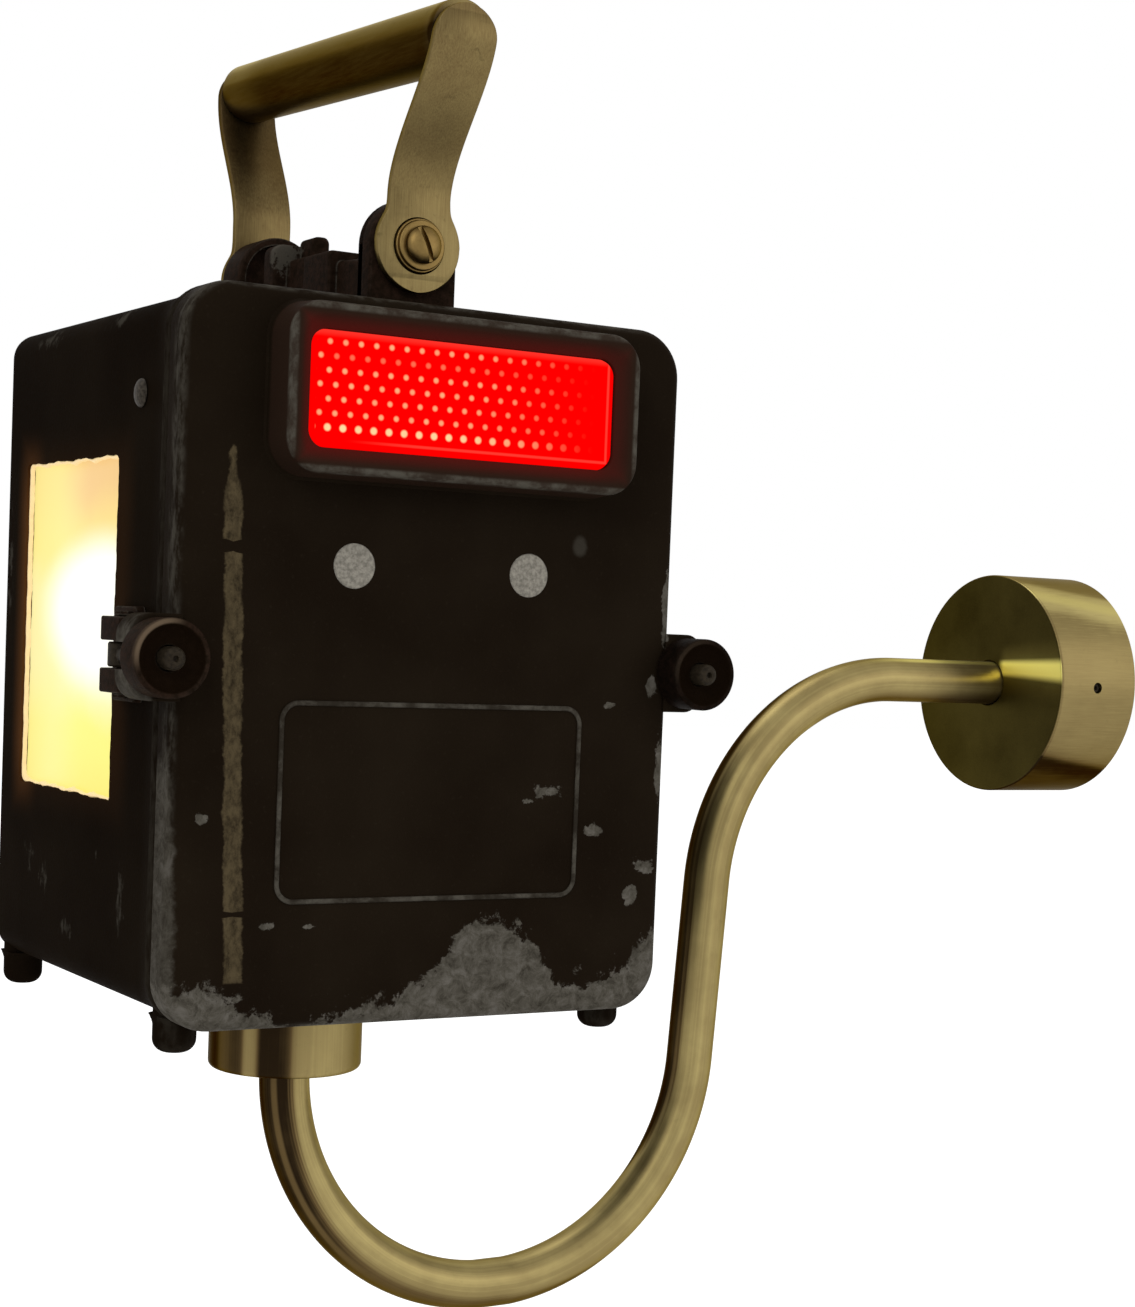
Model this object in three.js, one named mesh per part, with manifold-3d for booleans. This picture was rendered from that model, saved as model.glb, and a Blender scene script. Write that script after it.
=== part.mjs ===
// A wall lamp made from an old hand lantern. A cast case with a clamped front cover, a red
// reflector lens and a lit side window stands on a swan-neck brass tube from a round wall
// canopy. Millimetres, X towards the wall, Y from the front cover to the back, Z up.
// The origin is the centre of the canopy's wall face. The sizes below are measured from the
// middle of the cover's front face, and the whole lamp is shifted to its origin at the end.

import * as THREE from 'three';
import { mergeVertices } from 'three/addons/utils/BufferGeometryUtils.js';
import Module from 'manifold-3d';

const wasm = await Module();
wasm.setup();

// Fits and facets shared by all pieces
const seatGap = 0.3; // air between two pieces that seat on each other
const overrun = 1; // how far a cutting tool runs past the face that it opens
const cornerSteps = 4; // facets in a quarter round of a case or cover corner
const roundSides = 20; // facets around a large turned piece
const smallSides = 12; // facets around a screw, pin or rivet
const tinySides = 8; // facets around the smallest screws and holes

// Case: a cast box, open at the front, with a proud band behind the cover
const caseWidth = 120;
const caseHeight = 156;
const caseLength = 115.2; // from the flange face to the back
const caseWall = 2;
const caseCorner = 6.5;
const caseRearRound = 4;
const bandProud = 2; // how far the band and the cover stand out from the case
const bandLength = 3;
const bandBlend = 10.5; // length over which the band flares down to the case
const flareShares = [0.22, 0.45, 0.7]; // sections of that flare
const bandEdge = 0.8; // small chamfer on the band's front edge
const flangeThickness = 3.5;
const flangeInset = 4; // how far the flange reaches inside the case's outside
const footDiameter = 9.6;
const footHeight = 8; // below the case floor
const footSideInset = 6; // from the case side to a foot's centre
const footFrontInset = 5; // from the flange face to a front foot's centre
const footRearInset = 6.2; // from the back to a rear foot's centre

// Front cover: a shallow tray with the raised lens frame and a thin raised border
const coverWidth = caseWidth + 2 * bandProud;
const coverHeight = caseHeight + 2 * bandProud;
const coverDepth = 8.5;
const coverWall = 2;
const skirtWall = 3;
const coverCorner = 11;
const coverEdge = 3.2; // round on the front edge
const borderWidth = 76;
const borderHeight = 44.5;
const borderCorner = 4.5;
const borderLine = 1.2;
const borderProud = 0.6;
const borderDropShare = 0.1906; // border's middle below the cover's centre, of its height

// Cover gasket, in a groove of the flange
const gasketThickness = 1.2;
const gasketWidth = 2;
const gasketInset = 1; // from the cover's outside to the gasket

// Raised lens frame, lens and what holds it
const lensWidth = 75.4; // clear opening of the frame
const lensHeight = 25;
const frameWall = 6.15; // from that opening to the frame's outside
const frameWidth = lensWidth + 2 * frameWall;
const frameHeight = lensHeight + 2 * frameWall;
const frameProud = 10.5;
const frameDraft = 0.5; // how much the frame narrows on each side towards its rim
const frameRim = 1.6; // round on the rim
const frameCorner = 8;
const frameTopInset = 3.1; // from the cover's top edge down to the frame
const frameShift = 0.7; // frame's middle to the right of the cover's
const lensCorner = 3.6;
const lipThickness = 2.5;
const lipBevel = 2.4; // how much the slope in front of the lens widens the opening
const lipEdge = 0.4; // straight edge left behind that slope
const lensRebate = 2; // how far the lens flange reaches behind the lip
const lensFlange = 2.2;
const lensProud = 0.3; // how far the lens stands forward into the opening
const dotPitch = 3.9;
const rowPitch = 2.9;
const dotWidth = 2;
const dotHeight = 0.9;
const dotMargin = 2.2; // from the opening's edge to the nearest dots
const sealWidth = 1.6;
const sealThickness = 1;
const retainerThickness = 1.5;
const retainerMargin = 2.4; // how far the retainer reaches above and below the pocket
const retainerRim = 1.2; // wall of the rim that presses the seal
const retainerScrewDiameter = 2.2;
const retainerScrewHead = 4.2;
const retainerScrewHeadHeight = 1.6;
const retainerScrewGrip = 6; // length in the frame

// Blanking plugs in the cover's two old holes
const plugDiameter = 10;
const plugProud = 0.25;
const plugTail = 13;
const plugTailHeight = 1;
const plugSpacing = 43.8;
const plugShift = 0.5; // plugs' middle to the right of the cover's
const plugRiseShare = 0.1325; // plugs above the cover's centre, of its height

// Side window, its pane and the side rivets
const windowLength = 64.2;
const windowHeight = 78.2;
const windowRiseShare = 0.0346; // window's middle above the case's, of its height
const paneThickness = 3;
const paneLap = 2.5; // how far the pane laps over the wall inside
const sideRivetHead = 6.4;
const sideRivetDome = 1.4;
const sideRivetShank = 3;
const sideRivetRiseShare = 0.3667; // above the case's middle, of its height
const sideRivetSetback = 29; // from the cover's face

// Handle bracket on top of the case
const bracketSetback = 62.4; // from the cover's face to the bracket's middle
const bracketSpan = 86.6; // between the outside faces of the two bosses
const bracketBaseWidth = 22;
const bracketBase = 3;
const frontBossThickness = 7;
const rearBossThickness = 11;
const bossDiameter = 22;
const pivotRise = 16.9; // pivot axis above the case top
const webThickness = 12;
const saddleRise = 18.7; // top of the web above the case top
const ribLength = 16;
const ribWidth = 16;
const ribRise = 21.8;
const ribRound = 2; // corners of the rib and of the hump behind it
const ribSetback = 27.9; // rib's front behind the bracket's front
const humpWidth = 15; // hump between the rib and the hollow
const humpRise = 22.5;
const recessLength = 12; // hollow ahead of the rear boss
const recessRise = 8; // floor of that hollow above the case top
const bandGap = 1.5; // slot between the front boss and the case's band
const bracketScrewDiameter = 4;
const bracketScrewHead = 8;
const bracketScrewHeadHeight = 3;
const bracketScrewGrip = 7;
const bracketScrewSpacing = 38;
const bracketScrewShift = -5; // screws' middle from the bracket's middle

// Handle: two cranked strips and a round grip
const stripThickness = 2;
const stripWidth = 15.5;
const eyeDiameter = 21;
const eyeBore = 12.9;
const gripHeight = 44.6; // grip axis above the pivot at the front arm
const gripRise = 6.5; // the rear arm is this much longer
const gripLift = 1.7; // grip axis above the middle of an arm's round end
const frontCrank = 19.8; // how far the front arm steps outwards
const frontCrankFrom = 10.6; // height above the pivot where that step begins
const frontCrankTo = 46.9; // height where it would end
const rearCrank = 12.8;
const rearCrankFrom = 15.4;
const rearCrankTo = 49.2;
const crankSteps = 9;
const gripDiameter = 15;
const bushDiameter = 12.3;
const bushStep = 11.4; // diameter of the bush's proud end
const bushProud = 0.8;
const bushStepProud = 0.9;
const pivotScrewDiameter = 5;
const pivotScrewHead = 8.6;
const pivotScrewDome = 2.4;
const pivotScrewGrip = 5.5; // length in the boss
const pivotScrewSlot = 1.1;
const pivotScrewSlotDepth = 1.2;
const pivotScrewTurn = 0.25; // how the slots happen to stand, in radians

// Clamps: a fork on the case side, a swing bolt on a pin and a dished knob
const clampPivotOut = 6; // pin centre outside the case side
const clampPivotBack = 20; // pin centre behind the cover's face
const forkPlate = 2.1;
const forkPlateLength = 14;
const forkPlateHeight = 21;
const forkEarHeight = 5.2;
const forkEarOut = 4; // ear tip outside the pin centre
const forkEarRear = 4.5; // ear end behind the pin centre
const forkEarFront = 9; // ear end ahead of the pin centre
const forkEarRound = 1.5;
const forkEarRoot = 4; // how much further back an ear begins at the plate
const forkRivetDiameter = 2.6;
const forkRivetHead = 4.4;
const forkRivetDome = 1;
const forkRivetInset = 3.2; // from the plate's rear edge
const forkRivetSpacing = 13;
const boltDiameter = 5;
const boltEyeDiameter = 6.6;
const boltEyeWidth = 5.4;
const boltProud = 3.4; // bolt end beyond the knob
const boltEndRound = 0.8;
const boltDimple = 1.4;
const boltDimpleDepth = 1;
const clampPinDiameter = 3;
const clampPinHead = 4.6;
const clampPinHeadHeight = 0.9;
const knobDiameter = 16.8;
const knobLength = 8.7;
const knobDish = 2.4;
const knobRim = 1.2;
const knobEdge = 0.6;
const knobHub = 8; // diameter of the flat floor round the bolt
const lugHeight = 18.5; // cover lug that the clamp draws on
const lugOut = 6; // lug tip outside the bolt's axis
const lugRound = 5;
const lugRelief = 1.05; // the lug's tip falls back so that the knob swings clear

// Ferrule, nipple and what locks the case to the tube
const stemSetback = 74.8; // tube axis behind the cover's face
const ferruleDiameter = 38.3;
const ferruleLength = 24.9;
const ferruleRound = 1.6; // reach of the round on its lower edge
const nippleDiameter = 10;
const nippleBore = 7;
const nippleInFerrule = 13;
const nippleAboveFloor = 17;
const lockWasherDiameter = 20;
const lockWasherThickness = 1.5;
const lockNutCorners = 16;
const lockNutHeight = 4;

// Swan-neck tube
const tubeDiameter = 12.7;
const tubeWall = 1;
const tubeStraight = 0.8; // straight tube below the ferrule, ahead of the bend
const bendRadius = 61.5;
const bendTurn = THREE.MathUtils.degToRad(176.2); // sweep of the lower bend
const riseLength = 49.5;
const runLength = 37.6; // level run up to the canopy
const tubeSides = 14;
const tubeBoreSides = 6;
const tubeSteps = 40;

// Lampholder and bulb
const holderDiameter = 27;
const holderHeight = 45;
const holderBore = 15.2;
const holderFloor = 22; // closed part below the bulb cap
const holderRound = 2;
const bulbSeat = 2; // air under the bulb cap
const bulbCapDiameter = 14;
const bulbCapLength = 22;
const bulbDiameter = 45;
const bulbNeck = 20;
const bulbNeckHeight = 6;

// Canopy, collar, wall plate and terminal block
const canopyDiameter = 64.5;
const canopyLength = 29;
const canopyWall = 2;
const canopyEdge = 0.7;
const canopySides = 36;
const tubeInCanopy = 11; // tube end behind the canopy's front face
const collarDiameter = 24;
const collarLength = 7;
const plateDiameter = 56;
const plateThickness = 2.5;
const plateEarWidth = 12;
const plateEarThickness = 2.5;
const plateEarLength = 19;
const wallHoleDiameter = 4.6;
const wallHoleSpacing = 40;
const entryDiameter = 9;
const entryRise = 14; // cable entry above the plate's centre
const grubDiameter = 2.6;
const grubLength = 4.2;
const grubRecess = 0.9;
const grubSocket = 1.3;
const grubSocketDepth = 1.5;
const grubSetback = 15; // grub screws from the wall face
const blockWidth = 20;
const blockHeight = 13;
const blockDepth = 11;
const blockDrop = 15; // terminal block's middle below the plate's centre
const blockBore = 3;
const blockBoreDepth = 4;

// Places that follow from the sizes
const flangeFace = coverDepth + seatGap;
const caseBack = flangeFace + caseLength;
const caseTop = caseHeight / 2;
const caseFloor = -caseTop;
const caseSide = caseWidth / 2;
const bandSide = coverWidth / 2;
const frameRise = coverHeight / 2 - frameTopInset - frameHeight / 2;
const borderDrop = coverHeight * borderDropShare;
const plugRise = coverHeight * plugRiseShare;
const windowRise = caseHeight * windowRiseShare;
const sideRivetRise = caseHeight * sideRivetRiseShare;
const bandRear = flangeFace + bandLength;
const pivotHeight = caseTop + pivotRise;
const bracketFront = bracketSetback - bracketSpan / 2;
const bracketRear = bracketSetback + bracketSpan / 2;
const boltAxis = caseSide + clampPivotOut;
const forkPlateFront = bandRear + bandBlend + seatGap;
const forkPlateSide = caseSide + seatGap + forkPlate;
const earInside = boltEyeWidth / 2 + seatGap;
const earOutside = earInside + forkEarHeight;
const ferruleTop = caseFloor - seatGap;
const ferruleBottom = ferruleTop - ferruleLength;
const nippleBottom = ferruleTop - nippleInFerrule;
const tubeTop = nippleBottom - seatGap;
const bendStart = ferruleBottom - tubeStraight;
const washerBottom = caseFloor + caseWall + seatGap;
const nutBottom = washerBottom + lockWasherThickness + seatGap;
const holderBottom = nutBottom + lockNutHeight + seatGap;
const lensFront = -frameProud + lipThickness + seatGap; // front of the lens flange
const pocketWidth = lensWidth + 2 * lensRebate;
const pocketHeight = lensHeight + 2 * lensRebate;

// The two arms: the face that its eye seats on, its crank and the height of the grip's axis
const frontArm = {
  outward: -1,
  seat: bracketFront - seatGap,
  crank: frontCrank,
  from: frontCrankFrom,
  to: frontCrankTo,
  grip: gripHeight
};
const rearArm = {
  outward: 1,
  seat: bracketRear + seatGap,
  crank: rearCrank,
  from: rearCrankFrom,
  to: rearCrankTo,
  grip: gripHeight + gripRise
};

// Swan neck: lower bend, inclined rise, upper bend and level run, in the plane of the stem
const lowerCentre = new THREE.Vector2(bendRadius, bendStart);
const lowerEnd = new THREE.Vector2(
  lowerCentre.x - bendRadius * Math.cos(bendTurn),
  lowerCentre.y - bendRadius * Math.sin(bendTurn)
);
const riseHeading = bendTurn - Math.PI / 2;
const riseEnd = new THREE.Vector2(
  lowerEnd.x + riseLength * Math.cos(riseHeading),
  lowerEnd.y + riseLength * Math.sin(riseHeading)
);
const upperCentre = new THREE.Vector2(
  riseEnd.x + bendRadius * Math.sin(riseHeading),
  riseEnd.y - bendRadius * Math.cos(riseHeading)
);
const stemHeight = upperCentre.y + bendRadius;
const canopyFront = upperCentre.x + runLength;
const wallFace = canopyFront + canopyLength;

// Materials
const finish = (color, roughness, metalness) =>
  new THREE.MeshStandardMaterial({ color, roughness, metalness });
const blackPaint = finish(0x241c16, 0.5, 0.3);
const wornPaint = finish(0x2c241c, 0.55, 0.35);
const brass = finish(0xb19a58, 0.35, 1);
const agedBrass = finish(0x8f7c47, 0.45, 1);
const greyMetal = finish(0x8b8578, 0.5, 0.8);
const steel = finish(0x9a9a98, 0.4, 0.9);
const darkRubber = finish(0x141210, 0.9, 0);
const redLens = finish(0xd31208, 0.25, 0);
const opalPane = finish(0xfff1c4, 0.5, 0);
const bulbGlass = finish(0xfff6e0, 0.3, 0);
const bakelite = finish(0x16120f, 0.4, 0);
const whitePlastic = finish(0xe6e1d6, 0.5, 0);

// Turns a closed geometry into a solid that can be joined and cut
function solid(geometry) {
  const plain = geometry.clone();
  plain.deleteAttribute('normal');
  plain.deleteAttribute('uv');
  const merged = mergeVertices(plain);
  const index = merged.index.array;
  const triangles = [];
  for (let i = 0; i < index.length; i += 3) {
    const [a, b, c] = [index[i], index[i + 1], index[i + 2]];
    if (a !== b && b !== c && c !== a) triangles.push(a, b, c);
  }
  return new wasm.Manifold(new wasm.Mesh({
    numProp: 3,
    vertProperties: Float32Array.from(merged.attributes.position.array),
    triVerts: Uint32Array.from(triangles)
  }));
}

// Turns a solid back into a geometry
function geometryOf(body) {
  const mesh = body.getMesh();
  const geometry = new THREE.BufferGeometry();
  geometry.setAttribute('position', new THREE.BufferAttribute(mesh.vertProperties, 3));
  geometry.setIndex(new THREE.BufferAttribute(mesh.triVerts, 1));
  geometry.computeVertexNormals();
  return geometry;
}

function cut(body, ...tools) {
  return tools.reduce((rest, tool) => rest.subtract(tool), body);
}

function join(body, ...others) {
  return others.reduce((sum, other) => sum.add(other), body);
}

// A box between two corners, given in any order
function block([xa, xb], [ya, yb], [za, zb]) {
  const size = [Math.abs(xb - xa), Math.abs(yb - ya), Math.abs(zb - za)];
  const geometry = new THREE.BoxGeometry(...size);
  geometry.translate((xa + xb) / 2, (ya + yb) / 2, (za + zb) / 2);
  return solid(geometry);
}

// A turned body about Z: the profile holds [radius, height] pairs from axis to axis
function turned(profile, sides = smallSides) {
  const points = profile.map(([radius, height]) => new THREE.Vector2(radius, height));
  const geometry = new THREE.LatheGeometry(points, sides);
  geometry.rotateX(Math.PI / 2);
  return geometry;
}

// A turned ring about Z: the profile closes on itself away from the axis
function turnedRing(profile, sides = smallSides) {
  return turned([...profile, profile[0]], sides);
}

// Points a body that was turned about Z along another axis
function alongY(geometry) {
  geometry.rotateX(-Math.PI / 2);
  return geometry;
}

function alongX(geometry) {
  geometry.rotateY(Math.PI / 2);
  return geometry;
}

function placed(geometry, x, y, z) {
  geometry.translate(x, y, z);
  return geometry;
}

// Rods along each axis, between two ends given in any order
function rodZ(x, y, [za, zb], diameter, sides = smallSides) {
  const radius = diameter / 2;
  const geometry = new THREE.CylinderGeometry(radius, radius, Math.abs(zb - za), sides);
  geometry.rotateX(Math.PI / 2);
  return solid(placed(geometry, x, y, (za + zb) / 2));
}

function rodY(x, [ya, yb], z, diameter, sides = smallSides) {
  const radius = diameter / 2;
  const geometry = new THREE.CylinderGeometry(radius, radius, Math.abs(yb - ya), sides);
  return solid(placed(geometry, x, (ya + yb) / 2, z));
}

function rodX([xa, xb], y, z, diameter, sides = smallSides) {
  const radius = diameter / 2;
  const geometry = new THREE.CylinderGeometry(radius, radius, Math.abs(xb - xa), sides);
  geometry.rotateZ(Math.PI / 2);
  return solid(placed(geometry, (xa + xb) / 2, y, z));
}

// An outline in X and Z, made solid between two depths
function slabY(shape, [ya, yb]) {
  const depth = Math.abs(yb - ya);
  const geometry = new THREE.ExtrudeGeometry(shape, {
    depth, bevelEnabled: false, curveSegments: cornerSteps
  });
  geometry.rotateX(Math.PI / 2);
  return solid(placed(geometry, 0, Math.max(ya, yb), 0));
}

// An outline in X and Y, made solid between two heights
function slabZ(shape, [za, zb]) {
  const depth = Math.abs(zb - za);
  const geometry = new THREE.ExtrudeGeometry(shape, {
    depth, bevelEnabled: false, curveSegments: cornerSteps
  });
  return solid(placed(geometry, 0, 0, Math.min(za, zb)));
}

// A body lofted through closed rings of points, with flat ends
function loft(rings) {
  const points = rings.flat(2);
  const around = rings[0].length;
  const faces = [];
  for (let i = 0; i + 1 < rings.length; i += 1) {
    for (let j = 0; j < around; j += 1) {
      const a = i * around + j;
      const b = i * around + (j + 1) % around;
      faces.push(a, b, a + around, b, b + around, a + around);
    }
  }
  const last = (rings.length - 1) * around;
  for (let j = 1; j + 1 < around; j += 1) {
    faces.push(0, j + 1, j, last, last + j, last + j + 1);
  }
  const geometry = new THREE.BufferGeometry();
  geometry.setAttribute('position', new THREE.Float32BufferAttribute(points, 3));
  geometry.setIndex(faces);
  return solid(geometry);
}

// The points of a rounded rectangle that faces the front
function roundedRing({ y, width, height, corner }, centreZ) {
  const radius = Math.min(corner, width / 2, height / 2);
  const ring = [];
  for (let quarter = 0; quarter < 4; quarter += 1) {
    const signX = quarter === 0 || quarter === 3 ? 1 : -1;
    const signZ = quarter < 2 ? 1 : -1;
    for (let step = 0; step <= cornerSteps; step += 1) {
      const angle = (quarter + step / cornerSteps) * Math.PI / 2;
      ring.push([
        signX * (width / 2 - radius) + radius * Math.cos(angle),
        y,
        centreZ + signZ * (height / 2 - radius) + radius * Math.sin(angle)
      ]);
    }
  }
  return ring;
}

// A loft through rounded rectangles, from the rear one to the front one
function roundedLoft(sections, centreZ = 0) {
  return loft(sections.map((section) => roundedRing(section, centreZ)));
}

function roundedBlock(width, height, corner, [ya, yb], centreZ = 0) {
  return roundedLoft([
    { y: Math.max(ya, yb), width, height, corner },
    { y: Math.min(ya, yb), width, height, corner }
  ], centreZ);
}

// Sections of a quarter round between an end face and the sides, towards the sides
function edgeSections({ width, height, corner }, face, direction, radius, steps) {
  const sections = [];
  for (let i = 0; i <= steps; i += 1) {
    const angle = (1 - i / steps) * Math.PI / 2;
    const inset = radius * (1 - Math.cos(angle));
    sections.push({
      y: face + direction * radius * (1 - Math.sin(angle)),
      width: width - 2 * inset,
      height: height - 2 * inset,
      corner: Math.max(corner - inset, radius / 2)
    });
  }
  return sections;
}

// Case shell. A foot runs up inside the case's rounded corner.
function caseFoot(side, y) {
  const radius = footDiameter / 2;
  const profile = [[0, -footHeight]];
  for (const share of [0.35, 0.7, 1]) {
    const angle = share * Math.PI / 2;
    profile.push([
      radius * (1 + Math.sin(angle)) / 2,
      radius * (1 - Math.cos(angle)) / 2 - footHeight
    ]);
  }
  profile.push([radius, caseCorner], [0, caseCorner]);
  return solid(placed(turned(profile), side * (caseSide - footSideInset), y, caseFloor));
}

function bracketScrewPlaces() {
  const middle = bracketSetback + bracketScrewShift;
  return [middle - bracketScrewSpacing / 2, middle + bracketScrewSpacing / 2];
}

function forkRivetPlaces() {
  const y = forkPlateFront + forkPlateLength - forkRivetInset;
  return [[y, forkRivetSpacing / 2], [y, -forkRivetSpacing / 2]];
}

function caseShell() {
  const outer = { width: caseWidth, height: caseHeight, corner: caseCorner };
  const band = { width: coverWidth, height: coverHeight, corner: coverCorner };
  const inner = {
    width: caseWidth - 2 * caseWall,
    height: caseHeight - 2 * caseWall,
    corner: caseCorner - caseWall
  };
  const mouth = {
    width: caseWidth - 2 * flangeInset,
    height: caseHeight - 2 * flangeInset,
    corner: caseCorner - caseWall
  };
  const flare = flareShares.map((share) => {
    const proud = (1 - share) ** 2;
    return {
      y: bandRear + bandBlend * share,
      width: caseWidth + 2 * bandProud * proud,
      height: caseHeight + 2 * bandProud * proud,
      corner: THREE.MathUtils.lerp(caseCorner, coverCorner, proud)
    };
  });
  const rearInside = caseBack - caseWall;
  const rearSteps = 4;
  const shell = roundedLoft([
    ...edgeSections(outer, caseBack, -1, caseRearRound, rearSteps),
    { y: bandRear + bandBlend, ...outer },
    ...flare.reverse(),
    { y: bandRear, ...band },
    ...edgeSections(band, flangeFace, 1, bandEdge, 1).reverse(),
    { y: flangeFace, ...mouth },
    { y: flangeFace + flangeThickness, ...mouth },
    { y: flangeFace + flangeThickness, ...inner },
    ...edgeSections(inner, rearInside, -1, caseRearRound - caseWall, 2).reverse()
  ]);
  const feet = [-1, 1].flatMap((side) => [
    caseFoot(side, flangeFace + footFrontInset),
    caseFoot(side, caseBack - footRearInset)
  ]);
  const through = caseSide + overrun;
  const window = block(
    [-through, -caseSide + caseWall + overrun],
    [stemSetback - windowLength / 2, stemSetback + windowLength / 2],
    [windowRise - windowHeight / 2, windowRise + windowHeight / 2]
  );
  const sideRivetHoles = rodX(
    [-through, through], sideRivetSetback, sideRivetRise, sideRivetShank + 2 * seatGap
  );
  const forkRivetHoles = forkRivetPlaces().map(([y, z]) => rodX(
    [-through, through], y, z, forkRivetDiameter + 2 * seatGap
  ));
  const nippleHole = rodZ(
    0, stemSetback, [caseFloor - overrun, caseFloor + caseWall + overrun],
    nippleDiameter + 2 * seatGap
  );
  const screwHoles = bracketScrewPlaces().map((y) => rodZ(
    0, y, [caseTop - caseWall - overrun, caseTop + overrun], bracketScrewDiameter + 2 * seatGap
  ));
  const groove = gasketRing(
    [flangeFace - overrun, flangeFace + gasketThickness + seatGap], seatGap
  );
  return cut(
    join(shell, ...feet), window, sideRivetHoles, ...forkRivetHoles, nippleHole,
    ...screwHoles, groove
  );
}

// The gasket's ring between two depths, grown by a clearance for its groove
function gasketRing(depths, grow) {
  const outside = gasketInset - grow;
  const inside = gasketInset + gasketWidth + grow;
  return cut(
    roundedBlock(
      coverWidth - 2 * outside, coverHeight - 2 * outside, coverCorner - outside, depths
    ),
    roundedBlock(
      coverWidth - 2 * inside, coverHeight - 2 * inside, coverCorner - inside,
      [depths[0] - overrun, depths[1] + overrun]
    )
  );
}

function coverGasket() {
  return gasketRing([flangeFace, flangeFace + gasketThickness], 0);
}

// Front cover
function coverLug(side) {
  const tip = boltAxis + lugOut;
  const root = coverWidth / 2 - skirtWall / 2;
  const front = new THREE.Shape();
  front.moveTo(side * root, -lugHeight / 2);
  front.lineTo(side * (tip - lugRound), -lugHeight / 2);
  front.quadraticCurveTo(side * tip, -lugHeight / 2, side * tip, lugRound - lugHeight / 2);
  front.lineTo(side * tip, lugHeight / 2 - lugRound);
  front.quadraticCurveTo(side * tip, lugHeight / 2, side * (tip - lugRound), lugHeight / 2);
  front.lineTo(side * root, lugHeight / 2);
  const plan = new THREE.Shape();
  plan.moveTo(side * (coverWidth / 2 - coverEdge), coverDepth);
  plan.lineTo(side * (coverWidth / 2 - coverEdge), 0);
  plan.lineTo(side * boltAxis, 0);
  plan.lineTo(side * tip, lugRelief);
  plan.lineTo(side * tip, coverDepth);
  const slot = boltDiameter / 2 + seatGap;
  return cut(
    slabY(front, [0, coverDepth]).intersect(slabZ(plan, [-lugHeight, lugHeight])),
    block(
      [side * boltAxis, side * (tip + overrun)], [-overrun, coverDepth + overrun], [-slot, slot]
    ),
    rodY(side * boltAxis, [-overrun, coverDepth + overrun], 0, 2 * slot)
  );
}

function retainerScrewPlaces() {
  const wall = (frameWidth - pocketWidth) / 4;
  return [-pocketWidth / 2 - wall, pocketWidth / 2 + wall];
}

function frontCover() {
  const face = { width: coverWidth, height: coverHeight, corner: coverCorner };
  const tray = cut(
    roundedLoft([
      { y: coverDepth, ...face },
      ...edgeSections(face, 0, 1, coverEdge, 3).reverse()
    ]),
    roundedBlock(
      coverWidth - 2 * skirtWall, coverHeight - 2 * skirtWall, coverCorner - skirtWall,
      [coverWall, coverDepth + overrun]
    )
  );
  const foot = { width: frameWidth, height: frameHeight, corner: frameCorner };
  const rim = {
    width: frameWidth - 2 * frameDraft,
    height: frameHeight - 2 * frameDraft,
    corner: frameCorner - frameDraft
  };
  const lensFrame = roundedLoft([
    { y: coverWall, ...foot },
    { y: 0, ...foot },
    ...edgeSections(rim, -frameProud, 1, frameRim, 3).reverse()
  ], frameRise).translate([frameShift, 0, 0]);
  const pocket = roundedBlock(
    pocketWidth, pocketHeight, lensCorner + lensRebate,
    [lensFront - seatGap, coverWall + overrun], frameRise
  ).translate([frameShift, 0, 0]);
  const clear = { width: lensWidth, height: lensHeight, corner: lensCorner };
  const wide = {
    width: lensWidth + 2 * lipBevel,
    height: lensHeight + 2 * lipBevel,
    corner: lensCorner + lipBevel
  };
  const opening = roundedLoft([
    { y: lensFront, ...clear },
    { y: lensFront - seatGap - lipEdge, ...clear },
    { y: -frameProud, ...wide },
    { y: -frameProud - overrun, ...wide }
  ], frameRise).translate([frameShift, 0, 0]);
  const border = cut(
    roundedBlock(
      borderWidth, borderHeight, borderCorner, [-borderProud, coverWall / 2], -borderDrop
    ),
    roundedBlock(
      borderWidth - 2 * borderLine, borderHeight - 2 * borderLine, borderCorner - borderLine,
      [-borderProud - overrun, coverWall], -borderDrop
    )
  );
  const plugHoles = [-1, 1].map((side) => rodY(
    plugShift + side * plugSpacing / 2, [-overrun, coverWall + overrun], plugRise,
    plugDiameter + 2 * seatGap, roundSides
  ));
  const screwHoles = retainerScrewPlaces().map((x) => rodY(
    frameShift + x, [coverWall - retainerScrewGrip - seatGap, coverWall + overrun], frameRise,
    retainerScrewDiameter + 2 * seatGap, tinySides
  ));
  return cut(
    join(tray, lensFrame, border, coverLug(-1), coverLug(1)),
    pocket, opening, ...plugHoles, ...screwHoles
  );
}

// Lens: a flange behind the lip, a body that stands into the opening, dots on its rear face
function reflectorLens() {
  const rear = lensFront + lensFlange;
  const flange = roundedBlock(
    pocketWidth - 2 * seatGap, pocketHeight - 2 * seatGap, lensCorner + lensRebate - seatGap,
    [lensFront, rear], frameRise
  );
  const body = roundedBlock(
    lensWidth - 2 * seatGap, lensHeight - 2 * seatGap, lensCorner - seatGap,
    [lensFront - lensProud, rear], frameRise
  );
  const dots = [];
  const rows = Math.floor((lensHeight - 2 * dotMargin) / rowPitch) + 1;
  const columns = Math.floor((lensWidth - 2 * dotMargin) / dotPitch) + 1;
  for (let row = 0; row < rows; row += 1) {
    const shift = row % 2;
    for (let column = 0; column < columns - shift; column += 1) {
      const x = (column - (columns - 1 - shift) / 2) * dotPitch;
      const z = frameRise + (row - (rows - 1) / 2) * rowPitch;
      const dot = new THREE.ConeGeometry(dotWidth / 2, 2 * dotHeight, 4);
      dots.push(solid(placed(dot, x, rear, z)));
    }
  }
  return join(flange, body, ...dots);
}

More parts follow.
